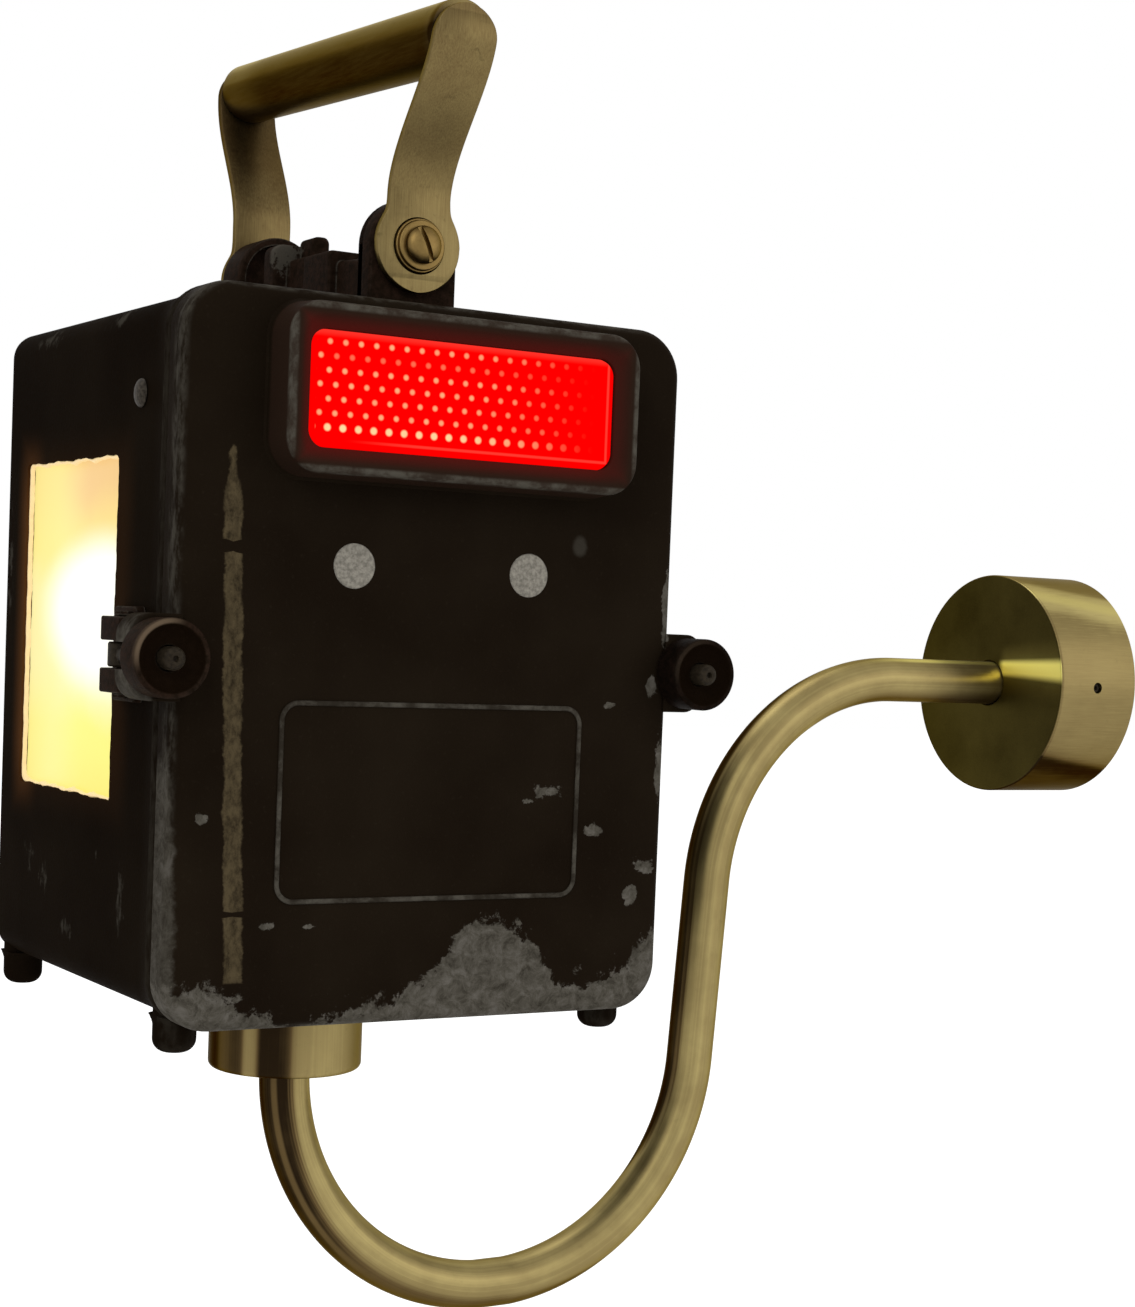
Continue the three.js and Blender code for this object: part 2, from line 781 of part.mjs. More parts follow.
function lensSeal() {
  const front = lensFront + lensFlange + seatGap;
  const width = pocketWidth - 2 * seatGap;
  const height = pocketHeight - 2 * seatGap;
  const corner = lensCorner + lensRebate - seatGap;
  return cut(
    roundedBlock(width, height, corner, [front, front + sealThickness], frameRise),
    roundedBlock(
      width - 2 * sealWidth, height - 2 * sealWidth, corner - sealWidth,
      [front - overrun, front + sealThickness + overrun], frameRise
    )
  );
}

function lensRetainer() {
  const front = coverWall + seatGap;
  const rimFront = lensFront + lensFlange + sealThickness + 2 * seatGap;
  const width = pocketWidth - 2 * seatGap;
  const height = pocketHeight - 2 * seatGap;
  const corner = lensCorner + lensRebate - seatGap;
  const plate = roundedBlock(
    frameWidth, pocketHeight + 2 * retainerMargin, frameCorner,
    [front, front + retainerThickness], frameRise
  );
  const rim = roundedBlock(width, height, corner, [rimFront, front + retainerThickness], frameRise);
  const opening = roundedBlock(
    width - 2 * retainerRim, height - 2 * retainerRim, corner - retainerRim,
    [rimFront - overrun, front + retainerThickness + overrun], frameRise
  );
  const holes = retainerScrewPlaces().map((x) => rodY(
    x, [front - overrun, front + retainerThickness + overrun], frameRise,
    retainerScrewDiameter + 2 * seatGap, tinySides
  ));
  return cut(join(plate, rim), opening, ...holes);
}

// A screw about Z, its head on top: shank, head with a small edge, and a straight slot
function slottedScrew(diameter, grip, head, headHeight, sides) {
  const edge = headHeight / 4;
  const body = solid(turned([
    [0, -grip], [diameter / 2, -grip], [diameter / 2, 0], [head / 2, 0],
    [head / 2, headHeight - edge], [head / 2 - edge, headHeight], [0, headHeight]
  ], sides));
  const slot = head / 10;
  return cut(body, block([-head, head], [-slot, slot], [headHeight / 2, headHeight + overrun]));
}

function retainerScrew() {
  return slottedScrew(
    retainerScrewDiameter, retainerScrewGrip + retainerThickness + seatGap, retainerScrewHead,
    retainerScrewHeadHeight, tinySides
  );
}

function bracketScrew() {
  return slottedScrew(
    bracketScrewDiameter, bracketScrewGrip, bracketScrewHead, bracketScrewHeadHeight, tinySides
  );
}

// Blanking plug about Z, its shown face on top
function blankingPlug() {
  const length = coverWall + seatGap;
  const round = plugProud / 2;
  return turned([
    [0, -length - plugTailHeight], [plugTail / 2, -length - plugTailHeight],
    [plugTail / 2, -length], [plugDiameter / 2, -length], [plugDiameter / 2, plugProud - round],
    [plugDiameter / 2 - round, plugProud], [0, plugProud]
  ], roundSides);
}

// Domed rivet about Z, its head on top and its shank's end flush inside the case
function domedRivet(head, dome, shank, grip) {
  const profile = [[0, -grip], [shank / 2, -grip], [shank / 2, 0]];
  for (const share of [0, 0.5, 1]) {
    const angle = share * Math.PI / 2;
    profile.push([head / 2 * Math.cos(angle), dome * Math.sin(angle)]);
  }
  return turned(profile, tinySides);
}

function windowPane() {
  const face = -caseSide + caseWall + seatGap;
  const length = windowLength / 2 + paneLap;
  const height = windowHeight / 2 + paneLap;
  return block(
    [face, face + paneThickness], [stemSetback - length, stemSetback + length],
    [windowRise - height, windowRise + height]
  );
}

// Handle bracket: a base, two bosses, a web with a saddle, a rib and a hump behind it
function tombstone(halfWidth, bottom, top) {
  const shape = new THREE.Shape();
  shape.moveTo(-halfWidth, bottom);
  shape.lineTo(halfWidth, bottom);
  shape.lineTo(halfWidth, top - halfWidth);
  shape.absarc(0, top - halfWidth, halfWidth, 0, Math.PI, false);
  return shape;
}

function flatTop(halfWidth, bottom, top, round) {
  const shape = new THREE.Shape();
  shape.moveTo(-halfWidth, bottom);
  shape.lineTo(halfWidth, bottom);
  shape.lineTo(halfWidth, top - round);
  shape.quadraticCurveTo(halfWidth, top, halfWidth - round, top);
  shape.lineTo(round - halfWidth, top);
  shape.quadraticCurveTo(-halfWidth, top, -halfWidth, top - round);
  return shape;
}

function handleBracket() {
  const seat = caseTop + seatGap;
  const baseTop = seat + bracketBase;
  const bossRadius = bossDiameter / 2;
  const bossTop = pivotHeight + bossRadius;
  const boss = (depths, bottom) => slabY(tombstone(bossRadius, bottom, bossTop), depths);
  const frontBoss = boss(
    [bracketFront, bracketFront + frontBossThickness], coverHeight / 2 + bandGap
  );
  const frontColumn = boss([forkPlateFront, bracketFront + frontBossThickness], seat);
  const rearBoss = boss([bracketRear - rearBossThickness, bracketRear], seat);
  const base = block(
    [-bracketBaseWidth / 2, bracketBaseWidth / 2], [forkPlateFront, bracketRear], [seat, baseTop]
  );
  const saddle = block(
    [-webThickness / 2, webThickness / 2],
    [bracketFront + frontBossThickness / 2, bracketRear - rearBossThickness / 2],
    [seat + bracketBase / 2, caseTop + saddleRise]
  );
  const ribFront = bracketFront + ribSetback;
  const hollow = bracketRear - rearBossThickness - recessLength;
  const rib = slabY(
    flatTop(ribWidth / 2, seat + bracketBase / 2, caseTop + ribRise, ribRound),
    [ribFront, ribFront + ribLength]
  );
  const hump = slabY(
    flatTop(humpWidth / 2, seat + bracketBase / 2, caseTop + humpRise, ribRound),
    [ribFront + ribLength / 2, hollow + overrun]
  );
  const recess = block(
    [-bossDiameter, bossDiameter],
    [hollow, bracketRear - rearBossThickness],
    [caseTop + recessRise, bossTop + overrun]
  );
  const screwHoles = bracketScrewPlaces().map((y) => rodZ(
    0, y, [seat - overrun, seat + bracketScrewGrip], bracketScrewDiameter + 2 * seatGap
  ));
  const bore = pivotScrewDiameter + 2 * seatGap;
  const blind = pivotScrewGrip + seatGap;
  return cut(
    join(base, frontBoss, frontColumn, rearBoss, saddle, rib, hump), recess, ...screwHoles,
    rodY(0, [bracketFront - overrun, bracketFront + blind], pivotHeight, bore),
    rodY(0, [bracketRear - blind, bracketRear + overrun], pivotHeight, bore)
  );
}

// How far an arm's strip has stepped outwards at a height above the pivot, and how much longer
// its thickness is there along Y
function stripAt({ outward, crank, from, to }, z) {
  const share = THREE.MathUtils.clamp((z - from) / (to - from), 0, 1);
  const slope = crank / (to - from) * 6 * share * (1 - share);
  return {
    middle: outward * (stripThickness / 2 + crank * share * share * (3 - 2 * share)),
    stretch: Math.hypot(1, slope)
  };
}

// Handle arm about its pivot: an eye, a neck, a cranked strip and a rounded end. It stands up
// along Z, its eye lies between y 0 and the strip's thickness on the side away from the case.
function handleArm(arm) {
  const reach = arm.grip - gripLift;
  const eyeRadius = eyeDiameter / 2;
  const halfWidth = stripWidth / 2;
  const neck = Math.asin(Math.sqrt(1 - (halfWidth / eyeRadius) ** 2));
  const stations = [];
  const eyeSteps = 9;
  for (let i = 0; i <= eyeSteps; i += 1) {
    const angle = -Math.PI / 2 + (neck + Math.PI / 2) * i / eyeSteps;
    stations.push([eyeRadius * Math.sin(angle), eyeRadius * Math.cos(angle)]);
  }
  for (let i = 0; i <= crankSteps; i += 1) {
    stations.push([THREE.MathUtils.lerp(arm.from, reach, i / crankSteps), halfWidth]);
  }
  const endSteps = 6;
  for (let i = 0; i <= endSteps; i += 1) {
    const angle = Math.PI / 2 * i / endSteps;
    if (i > 0) stations.push([reach + halfWidth * Math.sin(angle), halfWidth * Math.cos(angle)]);
  }
  const tip = eyeRadius / 1000;
  const rings = stations.map(([z, half]) => {
    const { middle: y, stretch } = stripAt(arm, z);
    const thick = stripThickness * stretch / 2;
    const x = Math.max(half, tip);
    return [[x, y - thick, z], [x, y + thick, z], [-x, y + thick, z], [-x, y - thick, z]];
  });
  const eye = rodY(
    0, [-arm.outward * overrun, arm.outward * (stripThickness + overrun)], 0, eyeBore, roundSides
  );
  return cut(loft(rings), eye);
}

// Grip: a round bar from arm to arm, its rear end higher than its front end. Its ends follow
// the lean of the arms.
function gripBar() {
  const geometry = new THREE.CylinderGeometry(gripDiameter / 2, gripDiameter / 2, 1, roundSides);
  const position = geometry.attributes.position;
  for (let i = 0; i < position.count; i += 1) {
    const arm = position.getY(i) < 0 ? frontArm : rearArm;
    const z = position.getZ(i) + arm.grip;
    const { middle, stretch } = stripAt(arm, z);
    const clearance = (stripThickness / 2 + seatGap) * stretch;
    position.setZ(i, z);
    position.setY(i, arm.seat + middle - arm.outward * clearance);
  }
  return geometry;
}

// Bush about Z, its proud end on top, from the boss through the arm's eye
function pivotBush() {
  const bore = pivotScrewDiameter / 2 + seatGap;
  const shoulder = stripThickness + bushProud;
  return turnedRing([
    [bore, 0], [bushDiameter / 2, 0], [bushDiameter / 2, shoulder], [bushStep / 2, shoulder],
    [bushStep / 2, shoulder + bushStepProud], [bore, shoulder + bushStepProud]
  ], roundSides);
}

// Pivot screw about Z, from the underside of its head
function pivotScrew() {
  const grip = pivotScrewGrip + stripThickness + bushProud + bushStepProud + 2 * seatGap;
  const radius = pivotScrewHead / 2;
  const profile = [[0, -grip], [pivotScrewDiameter / 2, -grip], [pivotScrewDiameter / 2, 0]];
  profile.push([radius, 0]);
  for (const share of [0.2, 0.6, 1]) {
    const angle = share * Math.PI / 2;
    profile.push([radius * Math.cos(angle), pivotScrewDome * (1 + 3 * Math.sin(angle)) / 4]);
  }
  const half = pivotScrewSlot / 2;
  return cut(
    solid(turned(profile, roundSides)),
    block(
      [-half, half], [-pivotScrewHead, pivotScrewHead],
      [pivotScrewDome - pivotScrewSlotDepth, pivotScrewDome + overrun]
    )
  );
}

// Clamp fork on the case side, with two ears round the bolt's pin
function clampFork(side) {
  const plate = block(
    [side * (caseSide + seatGap), side * forkPlateSide],
    [forkPlateFront, forkPlateFront + forkPlateLength],
    [-forkPlateHeight / 2, forkPlateHeight / 2]
  );
  const root = bandSide + seatGap;
  const tip = boltAxis + forkEarOut;
  const front = clampPivotBack - forkEarFront;
  const rear = clampPivotBack + forkEarRear;
  const ear = new THREE.Shape();
  ear.moveTo(side * root, front);
  ear.lineTo(side * (tip - forkEarRound), front);
  ear.quadraticCurveTo(side * tip, front, side * tip, front + forkEarRound);
  ear.lineTo(side * tip, rear - forkEarRound);
  ear.quadraticCurveTo(side * tip, rear, side * (tip - forkEarRound), rear);
  ear.lineTo(side * root, rear + forkEarRoot);
  const pinHole = rodZ(
    side * boltAxis, clampPivotBack, [-forkPlateHeight, forkPlateHeight],
    clampPinDiameter + 2 * seatGap
  );
  const rivetHoles = forkRivetPlaces().map(([y, z]) => rodX(
    [side * caseSide, side * (forkPlateSide + overrun)], y, z, forkRivetDiameter + 2 * seatGap
  ));
  return cut(
    join(plate, slabZ(ear, [earInside, earOutside]), slabZ(ear, [-earOutside, -earInside])),
    pinHole, ...rivetHoles
  );
}

// Swing bolt about its pin, pointing forwards: an eye, a shank and a dimpled end
function swingBolt() {
  const reach = clampPivotBack + seatGap + knobLength + boltProud;
  const radius = boltDiameter / 2;
  const shank = alongY(turned([
    [0, 0], [radius, 0], [radius, reach - boltEndRound], [radius - boltEndRound / 2, reach],
    [boltDimple / 2, reach], [0, reach - boltDimpleDepth]
  ]));
  shank.rotateX(Math.PI);
  return cut(
    join(solid(shank), rodZ(0, 0, [-boltEyeWidth / 2, boltEyeWidth / 2], boltEyeDiameter)),
    rodZ(0, 0, [-boltEyeWidth, boltEyeWidth], clampPinDiameter + 2 * seatGap)
  );
}

// Pin about Z with a head at each end
function clampPin() {
  const end = earOutside + seatGap;
  const radius = clampPinDiameter / 2;
  const head = clampPinHead / 2;
  const edge = clampPinHeadHeight / 3;
  const top = end + clampPinHeadHeight;
  return turned([
    [0, -top], [head - edge, -top], [head, -end], [radius, -end],
    [radius, end], [head, end], [head - edge, top], [0, top]
  ], tinySides);
}

// Dished knob about Z, its seat at zero and its rim on top
function clampKnob() {
  const bore = boltDiameter / 2 + seatGap;
  const radius = knobDiameter / 2;
  return turnedRing([
    [bore, 0], [radius - knobEdge, 0], [radius, knobEdge], [radius, knobLength - knobEdge],
    [radius - knobEdge / 2, knobLength], [radius - knobRim, knobLength],
    [knobHub / 2, knobLength - knobDish], [bore, knobLength - knobDish]
  ], roundSides);
}

// Ferrule, nipple, washer and nut about the stem
function ferrule() {
  const radius = ferruleDiameter / 2;
  const tubeBore = tubeDiameter / 2 + seatGap;
  const bore = nippleDiameter / 2 + seatGap;
  return turnedRing([
    [tubeBore, ferruleBottom], [radius - ferruleRound, ferruleBottom],
    [radius - ferruleRound / 4, ferruleBottom + ferruleRound / 4],
    [radius, ferruleBottom + ferruleRound], [radius, ferruleTop - ferruleRound / 2],
    [radius - ferruleRound / 2, ferruleTop], [bore, ferruleTop], [bore, nippleBottom],
    [tubeBore, nippleBottom]
  ], roundSides);
}

function nipple() {
  const top = caseFloor + nippleAboveFloor;
  return turnedRing([
    [nippleBore / 2, nippleBottom], [nippleDiameter / 2, nippleBottom], [nippleDiameter / 2, top],
    [nippleBore / 2, top]
  ]);
}

function lockWasher() {
  const bore = nippleDiameter / 2 + seatGap;
  const top = washerBottom + lockWasherThickness;
  return turnedRing([
    [bore, washerBottom], [lockWasherDiameter / 2, washerBottom], [lockWasherDiameter / 2, top],
    [bore, top]
  ]);
}

function lockNut() {
  const top = nutBottom + lockNutHeight;
  return cut(
    rodZ(0, 0, [nutBottom, top], lockNutCorners, 6),
    rodZ(0, 0, [nutBottom - overrun, top + overrun], nippleDiameter + 2 * seatGap)
  );
}

// Centre line of the swan neck, by distance along it
class SwanNeck extends THREE.Curve {
  constructor() {
    super();
    this.drop = tubeTop - bendStart;
    this.lower = bendRadius * bendTurn;
    this.upper = bendRadius * riseHeading;
    this.level = runLength + tubeInCanopy;
    this.total = this.drop + this.lower + riseLength + this.upper + this.level;
  }

  getPoint(t, target = new THREE.Vector3()) {
    let s = t * this.total;
    if (s <= this.drop) return target.set(0, 0, tubeTop - s);
    s -= this.drop;
    if (s <= this.lower) {
      const angle = Math.PI + s / bendRadius;
      return target.set(
        lowerCentre.x + bendRadius * Math.cos(angle), 0,
        lowerCentre.y + bendRadius * Math.sin(angle)
      );
    }
    s -= this.lower;
    if (s <= riseLength) {
      return target.set(
        lowerEnd.x + s * Math.cos(riseHeading), 0, lowerEnd.y + s * Math.sin(riseHeading)
      );
    }
    s -= riseLength;
    if (s <= this.upper) {
      const angle = Math.PI / 2 + riseHeading - s / bendRadius;
      return target.set(
        upperCentre.x + bendRadius * Math.cos(angle), 0,
        upperCentre.y + bendRadius * Math.sin(angle)
      );
    }
    s -= this.upper;
    return target.set(upperCentre.x + s, 0, stemHeight);
  }
}

// A regular outline for a tube's section or bore
function ringOutline(diameter, sides, type) {
  const outline = new type();
  for (let i = 0; i < sides; i += 1) {
    const angle = 2 * Math.PI * i / sides;
    const [x, y] = [diameter / 2 * Math.cos(angle), diameter / 2 * Math.sin(angle)];
    if (i === 0) outline.moveTo(x, y);
    else outline.lineTo(x, y);
  }
  outline.closePath();
  return outline;
}

function swanNeck() {
  const section = ringOutline(tubeDiameter, tubeSides, THREE.Shape);
  section.holes.push(ringOutline(tubeDiameter - 2 * tubeWall, tubeBoreSides, THREE.Path));
  return new THREE.ExtrudeGeometry(section, {
    steps: tubeSteps, extrudePath: new SwanNeck()
  });
}

// Lampholder and bulb about the stem
function lampholder() {
  const radius = holderDiameter / 2;
  const top = holderBottom + holderHeight;
  const floor = holderBottom + holderFloor;
  const bore = nippleDiameter / 2 + seatGap;
  return turnedRing([
    [bore, holderBottom], [radius - holderRound, holderBottom],
    [radius, holderBottom + holderRound], [radius, top - holderRound / 2],
    [radius - holderRound / 2, top], [holderBore / 2, top], [holderBore / 2, floor],
    [bore, floor]
  ]);
}

function bulbCap() {
  const bottom = holderBottom + holderFloor + bulbSeat;
  const radius = bulbCapDiameter / 2;
  return turned([
    [0, bottom], [radius / 2, bottom], [radius, bottom + radius / 3],
    [radius, bottom + bulbCapLength], [0, bottom + bulbCapLength]
  ]);
}

function bulb() {
  const bottom = holderBottom + holderFloor + bulbSeat + bulbCapLength + seatGap;
  const radius = bulbDiameter / 2;
  const neckAngle = Math.asin(bulbNeck / bulbDiameter);
  const centre = bottom + bulbNeckHeight + radius * Math.cos(neckAngle);
  const profile = [[0, bottom], [bulbNeck / 2 - bulbNeckHeight / 4, bottom]];
  const steps = 7;
  for (let i = 0; i <= steps; i += 1) {
    const angle = neckAngle + (Math.PI - neckAngle) * i / steps;
    profile.push([radius * Math.sin(angle), centre - radius * Math.cos(angle)]);
  }
  profile[profile.length - 1][0] = 0;
  return turned(profile, roundSides);
}

// Canopy: a cup that is open towards the wall
function canopy() {
  const radius = canopyDiameter / 2;
  const bore = tubeDiameter / 2 + seatGap;
  const cup = turnedRing([
    [bore, 0], [bore, canopyWall], [radius - canopyWall, canopyWall],
    [radius - canopyWall, canopyLength], [radius, canopyLength], [radius, canopyEdge],
    [radius - canopyEdge, 0]
  ].reverse(), canopySides);
  const grubHoles = rodY(
    canopyLength - grubSetback, [-radius - overrun, radius + overrun], 0,
    grubDiameter + 2 * seatGap, tinySides
  );
  return cut(solid(alongX(cup)), grubHoles);
}

function canopyCollar() {
  const bore = tubeDiameter / 2 + seatGap;
  const front = canopyWall + seatGap;
  return alongX(turnedRing([
    [bore, front], [collarDiameter / 2, front], [collarDiameter / 2, front + collarLength],
    [bore, front + collarLength]
  ]));
}

function wallPlate() {
  const front = canopyLength - plateThickness;
  const disc = rodX([front, canopyLength], 0, 0, plateDiameter, roundSides);
  const reach = canopyDiameter / 2 - canopyWall - 2 * seatGap;
  const face = Math.sqrt(reach ** 2 - (plateEarWidth / 2) ** 2);
  const half = plateEarWidth / 2;
  const ears = [-1, 1].map((side) => block(
    [canopyLength - plateEarLength, canopyLength], [side * (face - plateEarThickness), side * face],
    [-half, half]
  ));
  const wallHoles = [-1, 1].map((side) => rodX(
    [front - overrun, canopyLength + overrun], side * wallHoleSpacing / 2, 0, wallHoleDiameter
  ));
  const entry = rodX([front - overrun, canopyLength + overrun], 0, entryRise, entryDiameter);
  const grubHoles = rodY(
    canopyLength - grubSetback, [-face - overrun, face + overrun], 0,
    grubDiameter + 2 * seatGap, tinySides
  );
  return cut(join(disc, ...ears), ...wallHoles, entry, grubHoles);
}

// Grub screw about Z, its socket on top
function grubScrew() {
  const body = solid(turned([
    [0, -grubLength], [grubDiameter / 2, -grubLength], [grubDiameter / 2, 0], [0, 0]
  ], tinySides));
  return cut(body, rodZ(0, 0, [-grubSocketDepth, overrun], grubSocket, 6));
}

function terminalBlock() {
  const rear = canopyLength - plateThickness - seatGap;
  const front = rear - blockDepth;
  const body = block(
    [front, rear], [-blockWidth / 2, blockWidth / 2],
    [-blockDrop - blockHeight / 2, -blockDrop + blockHeight / 2]
  );
  const bores = [-1, 0, 1].map((place) => rodX(
    [front - overrun, front + blockBoreDepth], place * blockWidth / 3, -blockDrop, blockBore,
    tinySides
  ));
  return cut(body, ...bores);
}

// Assembly
const group = new THREE.Group();
const lantern = new THREE.Group();
lantern.position.set(-wallFace, -stemSetback, -stemHeight);
group.add(lantern);

function addPiece(parent, name, form, material, place = [0, 0, 0], turn = [0, 0, 0]) {
  const geometry = form.isBufferGeometry ? form : geometryOf(form);
  const mesh = new THREE.Mesh(geometry, material.clone());
  mesh.name = name;
  mesh.position.set(...place);
  mesh.rotation.set(...turn);
  parent.add(mesh);
  return mesh;
}

const quarter = Math.PI / 2;
const facingFront = [quarter, 0, 0];
const facingRear = [-quarter, 0, 0];
const sides = [['left', -1], ['right', 1]];

addPiece(lantern, 'case_shell', caseShell(), blackPaint);
addPiece(lantern, 'front_cover', frontCover(), wornPaint);
addPiece(lantern, 'cover_gasket', coverGasket(), darkRubber);
addPiece(lantern, 'reflector_lens', reflectorLens(), redLens, [frameShift, 0, 0]);
addPiece(lantern, 'lens_seal', lensSeal(), darkRubber, [frameShift, 0, 0]);
addPiece(lantern, 'lens_retainer', lensRetainer(), steel, [frameShift, 0, 0]);
addPiece(lantern, 'window_pane', windowPane(), opalPane);
addPiece(lantern, 'handle_bracket', handleBracket(), blackPaint);

const retainerHead = coverWall + retainerThickness + 2 * seatGap;
retainerScrewPlaces().forEach((x, i) => addPiece(
  lantern, `retainer_screw_${sides[i][0]}`, retainerScrew(), steel,
  [frameShift + x, retainerHead, frameRise], facingRear
));

const bracketHead = caseTop - caseWall - seatGap;
bracketScrewPlaces().forEach((y, i) => addPiece(
  lantern, `bracket_screw_${['front', 'rear'][i]}`, bracketScrew(), steel,
  [0, y, bracketHead], [2 * quarter, 0, 0]
));

for (const [name, side] of sides) {
  addPiece(
    lantern, `plug_${name}`, blankingPlug(), greyMetal,
    [plugShift + side * plugSpacing / 2, 0, plugRise], facingFront
  );
  addPiece(
    lantern, `side_rivet_${name}`,
    domedRivet(sideRivetHead, sideRivetDome, sideRivetShank, caseWall + seatGap), greyMetal,
    [side * (caseSide + seatGap), sideRivetSetback, sideRivetRise], [0, side * quarter, 0]
  );
  forkRivetPlaces().forEach(([y, z], i) => addPiece(
    lantern, `fork_rivet_${name}_${['upper', 'lower'][i]}`,
    domedRivet(forkRivetHead, forkRivetDome, forkRivetDiameter, caseWall + forkPlate + 2 * seatGap),
    blackPaint, [side * (forkPlateSide + seatGap), y, z], [0, side * quarter, 0]
  ));
  addPiece(lantern, `clamp_fork_${name}`, clampFork(side), blackPaint);
  const clamp = new THREE.Group();
  clamp.position.set(side * boltAxis, clampPivotBack, 0);
  lantern.add(clamp);
  addPiece(clamp, `clamp_pin_${name}`, clampPin(), blackPaint);
  addPiece(clamp, `swing_bolt_${name}`, swingBolt(), greyMetal);
  addPiece(
    clamp, `clamp_knob_${name}`, clampKnob(), wornPaint,
    [0, -clampPivotBack - seatGap, 0], facingFront
  );
}

const handle = new THREE.Group();
handle.position.set(0, 0, pivotHeight);
lantern.add(handle);
const bushLength = stripThickness + bushProud + bushStepProud + seatGap;
addPiece(handle, 'handle_arm_front', handleArm(frontArm), brass, [0, frontArm.seat, 0]);
addPiece(handle, 'handle_arm_rear', handleArm(rearArm), brass, [0, rearArm.seat, 0]);
addPiece(handle, 'handle_grip', gripBar(), brass);
addPiece(handle, 'pivot_bush_front', pivotBush(), brass, [0, frontArm.seat, 0], facingFront);
addPiece(handle, 'pivot_bush_rear', pivotBush(), brass, [0, rearArm.seat, 0], facingRear);
addPiece(
  handle, 'pivot_screw_front', pivotScrew(), agedBrass, [0, frontArm.seat - bushLength, 0],
  [quarter, 0, pivotScrewTurn]
);
addPiece(
  handle, 'pivot_screw_rear', pivotScrew(), agedBrass, [0, rearArm.seat + bushLength, 0],
  [-quarter, 0, pivotScrewTurn]
);

const stem = new THREE.Group();
stem.position.set(0, stemSetback, 0);
lantern.add(stem);
addPiece(stem, 'ferrule', solid(ferrule()), brass);
addPiece(stem, 'nipple', nipple(), steel);
addPiece(stem, 'lock_washer', lockWasher(), steel);
addPiece(stem, 'lock_nut', lockNut(), steel);
addPiece(stem, 'lampholder', lampholder(), bakelite);
addPiece(stem, 'bulb_cap', bulbCap(), steel);
addPiece(stem, 'bulb_glass', bulb(), bulbGlass);
addPiece(stem, 'swan_neck', swanNeck(), brass);

const wallEnd = new THREE.Group();
wallEnd.position.set(canopyFront, stemSetback, stemHeight);
lantern.add(wallEnd);
addPiece(wallEnd, 'canopy', canopy(), brass);
addPiece(wallEnd, 'canopy_collar', canopyCollar(), brass);
addPiece(wallEnd, 'wall_plate', wallPlate(), steel);
addPiece(wallEnd, 'terminal_block', terminalBlock(), whitePlastic);
for (const [name, side] of [['front', -1], ['rear', 1]]) {
  const depth = side * (canopyDiameter / 2 - grubRecess);
  addPiece(
    wallEnd, `grub_screw_${name}`, grubScrew(), steel,
    [canopyLength - grubSetback, depth, 0], [-side * quarter, 0, 0]
  );
}

export default group;
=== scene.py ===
"""Dresses the wall lamp, a hand lantern on a swan-neck tube: surfaces, finishes and stage."""

import math

import bmesh
import bpy
import numpy as np
from mathutils import Matrix, Vector


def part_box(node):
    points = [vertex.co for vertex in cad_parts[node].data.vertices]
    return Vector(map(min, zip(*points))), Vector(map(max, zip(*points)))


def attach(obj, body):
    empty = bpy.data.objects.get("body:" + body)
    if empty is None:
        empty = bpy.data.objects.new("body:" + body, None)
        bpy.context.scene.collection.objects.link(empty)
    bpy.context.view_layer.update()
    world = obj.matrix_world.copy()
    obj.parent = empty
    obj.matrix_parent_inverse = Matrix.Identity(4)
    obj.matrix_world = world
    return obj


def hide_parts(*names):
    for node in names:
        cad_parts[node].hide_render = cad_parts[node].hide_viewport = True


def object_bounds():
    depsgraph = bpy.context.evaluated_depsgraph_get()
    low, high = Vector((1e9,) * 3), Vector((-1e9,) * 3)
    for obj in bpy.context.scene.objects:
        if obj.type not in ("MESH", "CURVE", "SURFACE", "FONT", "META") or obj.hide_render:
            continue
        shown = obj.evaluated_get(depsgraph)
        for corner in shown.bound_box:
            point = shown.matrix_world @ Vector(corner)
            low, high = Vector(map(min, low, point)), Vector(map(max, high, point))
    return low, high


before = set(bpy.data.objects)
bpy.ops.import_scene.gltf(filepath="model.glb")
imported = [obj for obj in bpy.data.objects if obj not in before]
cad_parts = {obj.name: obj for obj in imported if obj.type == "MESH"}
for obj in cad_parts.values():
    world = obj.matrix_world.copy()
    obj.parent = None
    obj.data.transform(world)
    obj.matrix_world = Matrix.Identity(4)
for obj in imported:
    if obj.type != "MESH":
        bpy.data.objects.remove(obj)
cad_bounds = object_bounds()

bl_info = {
    "name": "Lantern Wall Lamp",
    "version": (1, 0, 0),
    "blender": (4, 5, 0),
    "location": "View3D > Sidebar > Lantern",
    "description": "Builds the surfaces, finishes, light and camera of a lantern wall lamp",
    "category": "Object",
}

MM = 0.001


# Places taken from the frame, in metres

def box_of(node):
    """Lowest and highest corner of a node of the frame, as arrays."""
    low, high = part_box(node)
    return np.array(low), np.array(high)


def centre_of(node):
    """The middle of a node's box, in metres."""
    return sum(box_of(node)) / 2


COVER_DEPTH = 8.5 * MM
MIDDLE = centre_of("front_cover")  # moved below to the middle of the cover's front face
MIDDLE[1] = box_of("front_cover")[1][1] - COVER_DEPTH
STEM = centre_of("ferrule") - MIDDLE  # the stem's axis, from the cover's middle


def box_mm(node):
    """A node's lowest and highest corner, in millimetres from the cover's middle."""
    return [(corner - MIDDLE) / MM for corner in box_of(node)]


def from_middle(x, y, z):
    """Points in metres, from their places in millimetres from the cover's middle. Each way is
    an array, or one number for all the points."""
    return np.stack(np.broadcast_arrays(x, y, z), axis=-1) * MM + MIDDLE


def in_mm(sizes, *names):
    """Some of a group's sizes, in millimetres."""
    return [getattr(sizes, name) / MM for name in names]


# Surfaces

